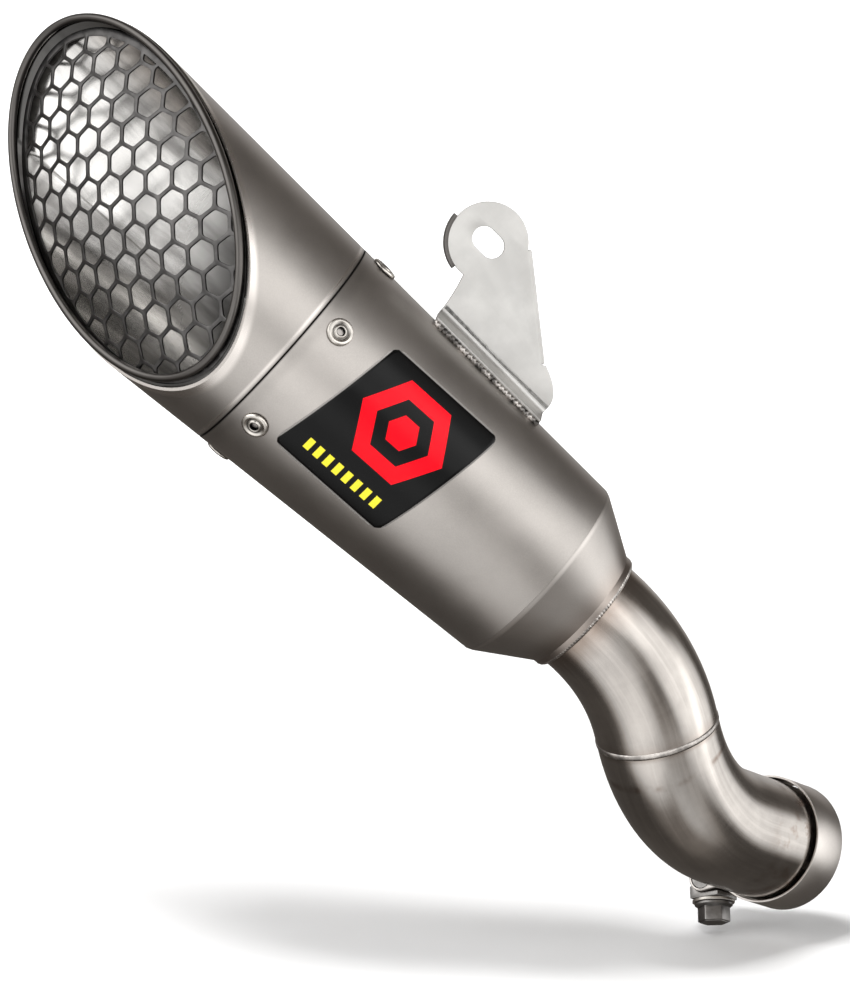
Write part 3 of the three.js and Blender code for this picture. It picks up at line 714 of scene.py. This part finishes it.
class SilencerSizes(bpy.types.PropertyGroup):
    skin_edge: number("Skin edge", 0.35 * MM, "Rounding of the skins' edges", unit="LENGTH", min=0)
    plate_edge: number("Plate edge", 0.3 * MM, "Rounding of the bracket's and clamp's edges",
                       unit="LENGTH", min=0)
    weld_pitch: number("Weld pitch", 1.5 * MM, "Distance between the ripples of a weld",
                       unit="LENGTH", min=0.2 * MM)
    segments: bpy.props.IntProperty(
        name="Segments", description="Facets round the skins and pipes", default=160, min=24, max=512)


class Builder:
    """What each operator of this add-on shares."""
    bl_options = {"REGISTER", "UNDO"}

    def looks(self):
        return bpy.context.scene.silencer_looks

    def sizes(self):
        return bpy.context.scene.silencer_sizes


# ---- Pieces


def slashed(above):
    """Slides the points above a height up the cone to the outlet's cut."""
    def change(point, angle):
        if point.z < above:
            return point
        inset = can_radius(point.z) - hypot(point.x, point.y)
        lean = CUT_SLOPE * cos(angle - CUT_TURN)
        crossing = CUT_HEIGHT - SHELL_CUT
        radius = (can_radius(crossing) - inset) / (1 - TAPER * lean)
        return Vector((*polar(radius, angle), crossing + lean * radius))

    return change


class BuildSkins(Builder, bpy.types.Operator):
    """Builds the inlet cone, the sleeve and the cap"""
    bl_idname = "silencer.build_skins"
    bl_label = "Build skins"

    def execute(self, context):
        lip, hair = self.sizes().skin_edge * 0.4, 0.03 * MM
        cone_radius = can_radius(CONE_END)
        cone = rounded([
            (NECK_RADIUS, 0), (NECK_RADIUS, NECK_LIP), (cone_radius - 0.9 * MM, CONE_END - 2.2 * MM),
            (cone_radius, CONE_END - hair), (cone_radius - SHEET, CONE_END - hair),
            (NECK_RADIUS - SHEET, NECK_LIP + SHEET), (NECK_RADIUS - SHEET, 0),
        ], hair)
        self.skin("inlet_cone", "cone_titanium", cone, cone_heat_and_highlight)
        sleeve = rounded([
            (cone_radius, CONE_END), (can_radius(SEAM), SEAM - CLEARANCE),
            (can_radius(SEAM) - SHEET, SEAM - CLEARANCE), (cone_radius - SHEET, CONE_END),
        ], hair)
        self.skin("outer_sleeve", "sleeve_titanium", sleeve, seam_stain_and_shading)
        cap = [
            (can_radius(SEAM) - lip, SEAM + CLEARANCE), (can_radius(SEAM), SEAM + CLEARANCE + lip),
            (can_radius(ABOVE_CUT), ABOVE_CUT), (can_radius(ABOVE_CUT) - SHEET, ABOVE_CUT),
            (can_radius(SEAM) - SHEET, SEAM + CLEARANCE),
        ]
        self.skin("outlet_cap", "cap_titanium", cap, cap_marks, slashed(CUT_HEIGHT))
        return {"FINISHED"}

    def skin(self, node, material, outline, marks, change=None):
        skin = revolve(f"{node}_skin", CAN, outline, self.sizes().segments, change=change)
        dress(skin, blasted_titanium(self.looks(), material, marks), node)


def liner_outline():
    liner_outer = lambda z: can_radius(z) - LINER_INSET
    throat = CORE_RADIUS + CLEARANCE + LINER_WALL
    inside_spigot = in_sleeve(SPIGOT_TOP) - SPIGOT_WALL - CLEARANCE
    shoulder = SPIGOT_TOP + 5 * MM
    outer = [
        (throat, SEAM - 10 * MM), (throat, SEAM - 4 * MM), (throat + 7.5 * MM, SEAM - 1.5 * MM),
        (inside_spigot - 5 * MM, SPIGOT_TOP - 4 * MM), (inside_spigot, SPIGOT_TOP + CLEARANCE),
        (liner_outer(shoulder), shoulder), (liner_outer(ABOVE_CUT), ABOVE_CUT),
    ]
    inner = [(r - LINER_WALL, z + (LINER_WALL if 1 < i < 5 else 0)) for i, (r, z) in enumerate(outer)]
    return outer + inner[::-1]


def clipped(polygon, limit):
    """The part of a convex polygon inside another; both run anticlockwise."""
    for i, corner in enumerate(limit):
        edge = limit[(i + 1) % len(limit)] - corner
        side = lambda p: edge.x * (p.y - corner.y) - edge.y * (p.x - corner.x)
        kept = []
        for j, point in enumerate(polygon):
            after = polygon[(j + 1) % len(polygon)]
            here, there = side(point), side(after)
            if here >= 0:
                kept.append(point)
            if (here >= 0) != (there >= 0):
                kept.append(point.lerp(after, here / (here - there)))
        polygon = kept
        if len(polygon) < 3:
            return []
    return polygon


def polygon_area(polygon):
    return sum(a.x * b.y - b.x * a.y for a, b in zip(polygon, polygon[1:] + polygon[:1])) / 2


def ellipse(major, minor, steps):
    return [Vector((major * cos(a), minor * sin(a)))
            for a in (2 * pi * i / steps for i in range(steps))]


def screen_cells(major, minor):
    """The screen's holes: hexagons on a triangular lattice, clipped by its plain border."""
    window = ellipse(major - SCREEN_BORDER, minor - SCREEN_BORDER, 120)
    row_step = CELL_PITCH * sqrt(3) / 2
    rows, columns = ceil(minor / row_step), ceil(major / CELL_PITCH)
    cells = []
    for row in range(-rows, rows + 1):
        for column in range(-columns, columns + 1):
            place = Vector(((column + 0.5 * (row % 2)) * CELL_PITCH, row * row_step))
            place = Matrix.Rotation(CELL_TURN, 2) @ place + CELL_SHIFT
            reach = (CELL_PITCH - CELL_STRAND) / sqrt(3)
            hole = clipped(rounded(hexagon(reach, CELL_TURN, place), 1.1 * MM, 2), window)
            if hole and polygon_area(hole) > (2 * MM) ** 2:
                cells.append(rounded(hole, 0.3 * MM, 1) if len(hole) < 14 else hole)
    return cells


class BuildOutlet(Builder, bpy.types.Operator):
    """Builds the rolled rim, the liner and the domed screen"""
    bl_idname = "silencer.build_outlet"
    bl_label = "Build outlet"

    def execute(self, context):
        looks, sizes = self.looks(), self.sizes()
        dress(revolve("outlet_liner_skin", CAN, liner_outline(), sizes.segments,
                      change=slashed(CUT_HEIGHT), smooth_angle=50),
              bright_titanium(looks, "liner_titanium", looks.bright, 0.1, marks=liner_painted_light),
              "outlet_liner")
        self.build_rim(looks)
        self.build_screen(looks)
        return {"FINISHED"}

    def build_rim(self, looks):
        major, minor, centre = cut_ellipse(RIM_BEAD / 2 + RIM_INSET, 0)
        steps, ring, half = 200, 20, RIM_BEAD / 2
        vertices = []
        for i, spot in enumerate(ellipse(major, minor, steps)):
            angle = 2 * pi * i / steps
            outward = Vector((minor * cos(angle), major * sin(angle), 0)).normalized()
            for k in range(ring):
                away, up = polar(half, 2 * pi * k / ring)
                vertices.append(spot.to_3d() + outward * away + Vector((0, 0, up)))
        rim = mesh_object("outlet_rim_bead", cut_frame(centre), vertices, tube_faces(steps, ring), 60)
        # The rim bead's titanium darkened to 0.28: painted shade on the rim.
        dress(rim, bright_titanium(looks, "rim_metal_painted_shade", tinted(looks.titanium, 0.28), 0.24),
              "outlet_rim")

    def build_screen(self, looks):
        drop = SCREEN_DEPTH + SCREEN_THICKNESS / 2
        major, minor, centre = cut_ellipse(LINER_INSET + LINER_WALL + CLEARANCE, drop)
        major -= SCREEN_THICKNESS / 2 * CUT_SLOPE

        def domed(point):
            reach = min(1.0, hypot(point.x / major, point.y / minor))
            return Vector((point.x, point.y, point.z + SCREEN_DOME * (1 - reach ** 2)))

        half = SCREEN_THICKNESS / 2
        screen = plate("hex_screen_mesh", cut_frame(centre),
                       [ellipse(major, minor, 160)] + screen_cells(major, minor),
                       -half, half, 0.22 * MM, domed)
        dress(screen, steel(looks, "screen_metal", looks.dark, 0.26),
              "hex_screen")


class BuildInside(Builder, bpy.types.Operator):
    """Gives the hidden frame nodes their materials"""
    bl_idname = "silencer.build_inside"
    bl_label = "Build inside"

    def execute(self, context):
        looks = self.looks()
        bright = bright_titanium(looks, "bright_titanium", looks.bright)
        # The core and the spigot ring get nearly black steel.
        near_black = steel(looks, "near_black_metal", (0.03, 0.028, 0.025), 0.45)
        for node, material in (("front_baffle", bright), ("rear_baffle", bright),
                               ("perforated_core", near_black), ("spigot_ring", near_black)):
            dress_node(node, material)
        dress_node("packing_blanket", fibre())
        return {"FINISHED"}


class BuildRivets(Builder, bpy.types.Operator):
    """Builds the blind rivets with their dished flanges and hollow mandrels"""
    bl_idname = "silencer.build_rivets"
    bl_label = "Build rivets"

    def execute(self, context):
        looks = self.looks()
        bright = steel(looks, "rivet_metal", looks.rivet, 0.14, rivet_painted_shade)
        # The mandrels are nearly black: painted shade in the rivets' holes.
        core = steel(looks, "mandrel_painted_shade", tinted(looks.fastener, 0.05), 0.5)
        for i in range(RIVET_COUNT):
            angle = RIVET_TURN + 2 * pi * i / RIVET_COUNT
            spot = (CAN @ move(*polar(can_radius(RIVET_HEIGHT), angle), RIVET_HEIGHT)
                    @ turn("Z", angle) @ turn("Y", pi / 2 + atan(TAPER)))
            outline = [(r * MM, z * MM) for r, z in (
                (0, -4.3), (3, -4.3), (3, 0.3), (5.75, 0.3), (5.75, 0.75), (5.3, 1.35), (4.4, 1.5),
                (3.3, 0.95), (2.9, 1.0), (2.5, 1.7), (2.0, 1.72), (1.6, 1.3), (1.6, -3.4), (0, -3.4))]
            rivet = revolve(f"rivet_{i + 1}_flange", spot, rounded(outline, 0.18 * MM, 2), 40)
            dress(rivet, bright, f"rivet_{i + 1}")
            pin = [(r * MM, z * MM) for r, z in (
                (0, -3.3), (1.4, -3.3), (1.4, -0.6), (0.9, -0.3), (0, -0.5))]
            dress(revolve(f"rivet_{i + 1}_mandrel", spot, pin, 24), core)
        return {"FINISHED"}


class BuildBracket(Builder, bpy.types.Operator):
    """Builds the hanger bracket with its lips, foot and weld"""
    bl_idname = "silencer.build_bracket"
    bl_label = "Build bracket"

    def execute(self, context):
        looks, sizes = self.looks(), self.sizes()
        edge = sizes.plate_edge
        metal = bracket_titanium(looks)
        upright = BRACKET @ turn("Y", -pi / 2)
        foot_start, foot_end, foot_bend = -30.5 * MM, 31.2 * MM, 6 * MM
        eye, eye_radius, half = Vector((37 * MM, 39 * MM)), 17.2 * MM, 1 * MM
        leaves, nose = radians(146), radians(-97)
        shoulder = Vector((-15.5 * MM, 18.3 * MM))
        rim = arc(eye, eye_radius, nose, leaves, 56)
        outline = [Vector((foot_end, foot_bend))]
        outline += curve_to((foot_end, foot_bend), (foot_end + 1 * MM, foot_bend + 8 * MM), rim[0])
        outline += rim[1:] + [shoulder, shoulder + Vector((-1.9 * MM, 1.1 * MM))]
        outline += curve_to(outline[-1], (foot_start + 0.5 * MM, 15 * MM), (foot_start, 8 * MM))
        outline.append(Vector((foot_start, foot_bend)))
        slot_half, slot_radius = 2.4 * MM, 5.15 * MM
        slot = (arc(eye + Vector((slot_half, 0)), slot_radius, -pi / 2, pi / 2)
                + arc(eye - Vector((slot_half, 0)), slot_radius, pi / 2, 1.5 * pi))
        face = plate("hanger_plate", upright, [outline, slot], -half, half, edge)
        dress(face, metal, "hanger_bracket")

        lip_depth, lip_width = 3.2 * MM, 1.6 * MM
        ends = (radians(-80), radians(-4))
        end_lip = arc(eye, eye_radius + lip_width, *ends)
        end_lip += arc(eye, eye_radius - 0.5 * MM, *ends[::-1])
        # The end lip's titanium darkened to 0.3: painted shade on the lip.
        dress(plate("hanger_end_lip", upright, [end_lip], -half, half + lip_depth, 0.5 * MM),
              blasted_titanium(looks, "lip_titanium_painted_shade", shade=0.3))
        edge_end = polar(eye_radius, leaves, eye)
        out = (edge_end - shoulder).normalized()
        out = Vector((-out.y, out.x))
        side_lip = [shoulder - out * 0.5 * MM, edge_end - out * 0.5 * MM,
                    edge_end + out * lip_width, shoulder + out * lip_width]
        side_lip = rounded(side_lip, 1.2 * MM)
        dress(plate("hanger_side_lip", upright, [side_lip], -half, half + lip_depth, 0.5 * MM),
              metal)
        self.build_foot(metal, looks, sizes, foot_start, foot_end, foot_bend, half)
        return {"FINISHED"}

    def build_foot(self, metal, looks, sizes, start, end, bend_height, half):
        reach = 12.8 * MM
        sleeve = can_radius(BRACKET_STATION + end)
        low = sqrt(sleeve ** 2 - reach ** 2) - sleeve + 2 * CLEARANCE
        lower = [(-half, bend_height + 2 * MM), (-half, bend_height)]
        lower += curve_to(lower[-1], (-half, bend_height - 3.2 * MM),
                          (half + 1.2 * MM, bend_height - 4.1 * MM))
        upper = [(half + 1.8 * MM, bend_height - 2.1 * MM)]
        upper += curve_to(upper[0], (half, bend_height - 1.4 * MM), (half, bend_height))
        outline = [*lower, (reach, low), (reach + 0.5 * MM, low + 2 * half), *upper,
                   (half, bend_height + 2 * MM)]
        foot = plate("hanger_foot", BRACKET, [outline], start, end, 0.3 * MM)
        dress(foot, metal)
        weld, steps, out = [], 260, reach + 1.2 * MM
        for i in range(steps + 1):
            along = start + (end - start) * i / steps
            radius = can_radius(BRACKET_STATION + along) + 0.3 * MM
            height = sqrt(radius ** 2 - out ** 2) - can_radius(BRACKET_STATION) - TAPER * along
            weld.append(((out, height + 0.4 * MM, along), (0.45, 1.0, 0)))
        dress(bead("hanger_weld", BRACKET, weld, 3.0 * MM, 1.2 * MM, 1.4 * sizes.weld_pitch, 0.4),
              weld_metal(looks, "dark_weld_metal", 0.2, 1.5))


class BuildBadge(Builder, bpy.types.Operator):
    """Builds the badge plate, bent round the sleeve"""
    bl_idname = "silencer.build_badge"
    bl_label = "Build badge"

    def execute(self, context):
        columns, rows, thick, corner = 64, 72, 0.5 * MM, 5 * MM
        half_length, half_height = BADGE_LENGTH / 2, BADGE_HEIGHT / 2
        vertices = []
        for row in range(rows + 1):
            up = half_height * (2 * row / rows - 1)
            y = up + BADGE_SHIFT
            trim = max(0.0, abs(up) - (half_height - corner))
            reach = half_length - corner + sqrt(max(0.0, corner ** 2 - trim ** 2))
            front, back = [], []
            for column in range(columns + 1):
                across = reach * (2 * column / columns - 1)
                z = BADGE_STATION + across - up / half_height * BADGE_LEAN / 2
                edge = 1 - max(abs(across) / reach, abs(up) / half_height)
                lift = CLEARANCE + thick * min(1.0, sqrt(max(0.0, edge) * 60))
                for skin, height in ((front, lift), (back, 0.1 * MM)):
                    skin.append(Vector((sqrt((can_radius(z) + height) ** 2 - y ** 2), y, z)))
            vertices += front + back[::-1]
        faces = tube_faces(rows + 1, 2 * (columns + 1), closed=False)
        badge = mesh_object("badge_skin", CAN, vertices, faces, 60)
        dress(badge, badge_enamel(self.looks()), "badge_plate")
        return {"FINISHED"}


class BuildPipes(Builder, bpy.types.Operator):
    """Builds both link pipes, the slots of the socket and the two welds"""
    bl_idname = "silencer.build_pipes"
    bl_label = "Build pipes"

    def execute(self, context):
        looks, sizes = self.looks(), self.sizes()
        gap = 0.2 * MM
        upper = self.pipe("upper_link_skin", WELD, gap, UPPER_LENGTH + STUB_IN_NECK,
                          pipe_path(UPPER_RUN, UPPER_RADIUS, UPPER_ANGLE))
        dress(upper, brushed_titanium(looks, "upper_pipe_titanium", upper_marks),
              "upper_link_pipe")
        lower = self.pipe("lower_link_skin", LOWER, 0.0, LOWER_LENGTH - gap,
                          pipe_path(LOWER_RUN, LOWER_RADIUS, LOWER_ANGLE))
        self.cut_slots(lower)
        dress(lower, brushed_titanium(looks, "lower_pipe_titanium", lower_marks),
              "lower_link_pipe")
        weld = weld_metal(looks)
        mid = [(PIPE_RADIUS + lift * MM, z * MM) for lift, z in (
            (-0.6, -1.4), (0.02, -1.3), (0.3, -0.5), (0.3, 0.5), (0.02, 1.3), (-0.6, 1.4))]
        dress(revolve("mid_weld", WELD, mid, sizes.segments, smooth_angle=70),
              weld)
        ring = [((*spot * (28.1 * MM), -0.2 * MM), (*spot, -1.0))
                for spot in arc((0, 0), 1, 0, 2 * pi, 900)]
        dress(bead("neck_weld", CAN, ring, 3.4 * MM, 1.2 * MM, sizes.weld_pitch, 0.2), weld)
        return {"FINISHED"}

    def pipe(self, name, matrix, start, end, path):
        bore = PIPE_RADIUS - PIPE_WALL
        outline = [(PIPE_RADIUS, start), (PIPE_RADIUS, end), (bore, end), (bore, start)]
        outline = refined(rounded(outline, self.sizes().skin_edge), 1.6 * MM)
        return revolve(name, matrix, outline, self.sizes().segments, path)

    def cut_slots(self, pipe):
        width, reach = 3 * MM, BAND_WIDTH + 1.6 * MM
        turned = radians(72.3 + 177.1)
        for i in range(4):
            outline = [Vector((-width / 2, -5 * MM)), Vector((width / 2, -5 * MM))]
            outline += arc((0, reach - width / 2), width / 2, 0, pi, 16)
            around = turn("Z", turned + (i + 1) * pi / 2) @ turn("X", pi / 2)
            floor = PIPE_RADIUS - 0.8 * MM if i == 0 else 15 * MM  # the near slot keeps a thin floor
            tool = plate("slot_tool", LOWER @ around, [outline], floor, 40 * MM, 0.05 * MM)
            modifier = pipe.modifiers.new("slot", "BOOLEAN")
            modifier.operation, modifier.solver, modifier.object = "DIFFERENCE", "EXACT", tool
            bpy.context.view_layer.update()
            graph = bpy.context.evaluated_depsgraph_get()
            done = bpy.data.meshes.new_from_object(pipe.evaluated_get(graph))
            pipe.modifiers.clear()
            pipe.data = done
            bpy.data.objects.remove(tool)


def round_two(first, first_radius, second, second_radius):
    """The outline round two circles, the first one the larger."""
    first, second = Vector(first), Vector(second)
    apart = second - first
    heading = atan2(apart.y, apart.x)
    spread = acos((first_radius - second_radius) / apart.length)
    return (arc(first, first_radius, heading + spread, heading - spread + 2 * pi, 40)
            + arc(second, second_radius, heading - spread, heading + spread, 10))


class BuildClamp(Builder, bpy.types.Operator):
    """Builds the band, the trunnions, the saddle, the washer and the bolt"""
    bl_idname = "silencer.build_clamp"
    bl_label = "Build clamp"

    def execute(self, context):
        looks, sizes = self.looks(), self.sizes()
        self.build_band(looks)
        dark = steel(looks, "fastener_metal", looks.fastener, 0.28)
        for node in ("clamp_trunnion", "clamp_nut_bar"):
            dress_node(node, dark)
        self.build_saddle(dark, sizes.plate_edge)
        self.build_bolt(looks)
        return {"FINISHED"}

    def build_band(self, looks):
        metal = blasted_titanium(looks, "band_titanium", shade=1.25)
        meet = radians(38)
        radius = BAND_INNER + BAND_THICKNESS / 2
        centre = (-BAND_OFFSET, 0)
        outer = arc(centre, BAND_INNER + BAND_THICKNESS, meet, 2 * pi - meet, 120)
        inner = arc(centre, BAND_INNER, 2 * pi - meet, meet, 120)
        dress(plate("clamp_band_strap", CLAMP, [outer + inner], 0, BAND_WIDTH, 0.18 * MM),
              metal, "clamp_band", "clamp")
        for side, name in ((1, "near"), (-1, "far")):
            loop = (BOLT_OFFSET, side * LOOP_SPREAD)
            strap = (radius * cos(meet) - BAND_OFFSET, side * radius * sin(meet))
            hole = arc(loop, LOOP_RADIUS - BAND_THICKNESS, 0, 2 * pi, 40)[:-1]
            dress(plate(f"clamp_band_loop_{name}", CLAMP,
                        [round_two(loop, LOOP_RADIUS, strap, BAND_THICKNESS / 2), hole],
                        0, BAND_WIDTH, 0.18 * MM),
                  metal, body="clamp")

    def build_saddle(self, metal, edge):
        half, inner = 7.5 * MM, LOOP_RADIUS + CLEARANCE
        wrap = asin((half - 1.6 * MM) / inner)
        loop = (BOLT_OFFSET, LOOP_SPREAD)
        outline = [Vector((BOLT_OFFSET - half, LOOP_SPREAD + inner))]
        outline += arc(loop, inner, pi / 2, pi / 2 - wrap, 12)
        outline.append(Vector((BOLT_OFFSET + half, LOOP_SPREAD + inner * cos(wrap))))
        outline += [(BOLT_OFFSET + half, SADDLE_TOP), (BOLT_OFFSET - half, SADDLE_TOP)]
        dress(plate("clamp_saddle_block", CLAMP, [rounded(outline, 0.4 * MM, 2)],
                    2 * MM, BAND_WIDTH - 2 * MM, edge), metal, "clamp_saddle", "clamp")

    def build_bolt(self, looks):
        washer_radius, washer_thick = 9.7 * MM, 1.4 * MM
        washer = rounded([(4.4 * MM, 0), (washer_radius, 0), (washer_radius, washer_thick),
                          (4.4 * MM, washer_thick)], 0.3 * MM)
        dress(revolve("clamp_washer_disc", BOLT, washer, 72),
              steel(looks, "washer_metal", tinted(looks.rivet, 0.9), 0.25),
              "clamp_washer", "washer")
        seat = washer_thick + CLEARANCE
        end = -(SADDLE_TOP + CLEARANCE + 22 * MM)
        metal = steel(looks, "bolt_metal", tinted(looks.fastener, 0.8), 0.24)
        thread, pitch = [], 1.25 * MM
        turns = int((seat - 6 * MM - end) / pitch)
        for i in range(turns):
            foot = end + 1 * MM + i * pitch
            thread += [(3.45 * MM, foot), (4 * MM, foot + pitch * 0.45), (4 * MM, foot + pitch * 0.58)]
        shank = [(0, end), (3 * MM, end), *thread, (4 * MM, seat - 5 * MM), (4 * MM, seat),
                 (8.7 * MM, seat), (8.7 * MM, seat + 0.9 * MM), (7.4 * MM, seat + 1.9 * MM),
                 (0, seat + 1.9 * MM)]
        dress(revolve("clamp_bolt_shank", BOLT, shank, 48, smooth_angle=50), metal,
              "clamp_bolt", "bolt")
        flats, head_top = 6.5 * MM, seat + 1.4 * MM + 7.4 * MM
        head = hexagon(flats / cos(pi / 6))
        chamfer = lambda p: p if p.z < head_top - 0.35 * MM or p.xy.length < flats else (
            Vector((*(p.xy.normalized() * flats), p.z)))
        dress(plate("clamp_bolt_head", BOLT, [rounded(head, 0.5 * MM)], seat + 1.2 * MM, head_top,
                    0.5 * MM, chamfer), metal, body="bolt")


# ---- Stage


class BuildStage(Builder, bpy.types.Operator):
    """Builds the floor, the room, the lamp and the camera"""
    bl_idname = "silencer.build_stage"
    bl_label = "Build stage"

    def execute(self, context):
        scene = context.scene
        floor_height = cad_box[0][2] - 1.5 * MM
        self.build_floor(floor_height)
        self.build_world(scene)
        middle = (cad_box[0] + cad_box[1]) / 2
        self.build_lamp(middle)
        camera = bpy.data.cameras.new("camera")
        camera.lens, camera.sensor_width, camera.sensor_fit = 120.7, 36, "AUTO"
        camera.clip_end = 50
        holder = bpy.data.objects.new("camera", camera)
        holder.location = (-0.16474, -1.48790, 0.36954)
        holder.rotation_euler = (radians(82), 0, 0)
        scene.collection.objects.link(holder)
        scene.camera = holder
        scene.view_settings.view_transform = "Standard"
        return {"FINISHED"}

    def build_floor(self, height):
        profile = [(-3.5, 0.0), *arc((3.2, 0.8), 0.8, -pi / 2, 0, 16), (4.0, 5.0)]
        vertices = [(x, y, height + z) for y, z in profile for x in (-6.0, 6.0)]
        faces = [(2 * i, 2 * i + 1, 2 * i + 3, 2 * i + 2) for i in range(len(profile) - 1)]
        floor = mesh_object("floor", Matrix.Identity(4), vertices, faces, 60)

        def paint(place):
            paper = place.noise(8.0, 3.0)
            base = paper.step(0.3, 0.7).blend((0.66, 0.66, 0.66), (0.68, 0.68, 0.68))
            glow = place.part("Y").step(0.3, 1.5).blend((0.0, 0.0, 0.0), (1.0, 1.0, 1.0))
            return {"Base Color": base, "Roughness": paper * 0.1 + 0.8, "Emission Color": glow}

        floor.data.materials.append(surface("paper", paint, Emission_Strength=0.6))
        floor.visible_glossy = False

    def build_world(self, scene):
        """A grey room with soft panels round the part: where each one hangs, and its brightness."""
        world = bpy.data.worlds.new("studio")
        world.use_nodes = True
        scene.world = world
        tree = world.node_tree
        place = Value(tree, tree.nodes.new("ShaderNodeTexCoord").outputs["Generated"])
        glow = place.towards((0.0, 0.0, 1.0)).step(-1.0, 1.0) * 0.04 + 0.1
        panels = {  # where each one hangs, its brightness, and the cosines of its edge and its core
            "key": ((0.47, -0.77, 0.44), 1.7, 0.88, 0.975),
            "front": ((0.0, -1.0, 0.05), 0.9, 0.78, 0.97),
            "low left": ((-0.46, -0.80, -0.40), 1.25, 0.66, 0.96),
            "left": ((-0.97, -0.2, 0.1), 0.6, 0.78, 0.97),
            "over the outlet": ((-0.65, -0.35, 0.67), 2.5, 0.76, 0.93),
            "right": ((0.93, -0.36, 0.05), 1.8, 0.8, 0.97),
            "right behind": ((0.96, 0.22, -0.1), 1.5, 0.88, 0.975),
            "low right": ((0.5, -0.52, -0.68), 0.55, 0.88, 0.98),
            "behind": ((0.0, 0.95, 0.3), 0.5, 0.78, 0.97),
            "below": ((0.05, -0.45, -0.9), 0.2, 0.78, 0.97),
        }
        for direction, brightness, rim, core in panels.values():
            glow = glow + place.towards(direction).step(rim, core) * brightness
        tone = glow.step(0.1, 0.9).blend((1.0, 0.9, 0.82), (1.0, 1.0, 1.0))
        feed(tree, tree.nodes["Background"].inputs["Color"], tone)
        feed(tree, tree.nodes["Background"].inputs["Strength"], glow)

    def build_lamp(self, middle):
        """The one lamp: a soft panel over the part, which casts the shadow on the floor."""
        lamp = bpy.data.lights.new("top", "AREA")
        lamp.shape, lamp.size, lamp.size_y, lamp.energy = "RECTANGLE", 0.75, 0.4, 54
        holder = bpy.data.objects.new("top", lamp)
        holder.visible_glossy = False
        towards = Vector((-0.2, -0.3, 1.0)).normalized()
        holder.location = middle + towards * 2.2
        holder.rotation_euler = towards.to_track_quat("Z", "Y").to_euler()
        bpy.context.scene.collection.objects.link(holder)


class SilencerPanel(bpy.types.Panel):
    """Sizes, colours and build buttons"""
    bl_idname = "VIEW3D_PT_silencer"
    bl_label = "Racing silencer"
    bl_space_type = "VIEW_3D"
    bl_region_type = "UI"
    bl_category = "Silencer"

    def draw(self, context):
        for group in (context.scene.silencer_sizes, context.scene.silencer_looks):
            for name in group.__annotations__:
                self.layout.prop(group, name)
        for operator in OPERATORS:
            self.layout.operator(operator.bl_idname)


OPERATORS = (BuildSkins, BuildOutlet, BuildInside, BuildRivets, BuildBracket, BuildBadge, BuildPipes,
             BuildClamp, BuildStage)
CLASSES = (SilencerLooks, SilencerSizes, *OPERATORS, SilencerPanel)


def register():
    for cls in CLASSES:
        bpy.utils.register_class(cls)
    bpy.types.Scene.silencer_looks = bpy.props.PointerProperty(type=SilencerLooks)
    bpy.types.Scene.silencer_sizes = bpy.props.PointerProperty(type=SilencerSizes)


def unregister():
    del bpy.types.Scene.silencer_sizes
    del bpy.types.Scene.silencer_looks
    for cls in reversed(CLASSES):
        bpy.utils.unregister_class(cls)


def main():
    register()
    for operator in OPERATORS:
        group, name = operator.bl_idname.split(".")
        getattr(getattr(bpy.ops, group), name)()


if __name__ == "__main__":
    main()
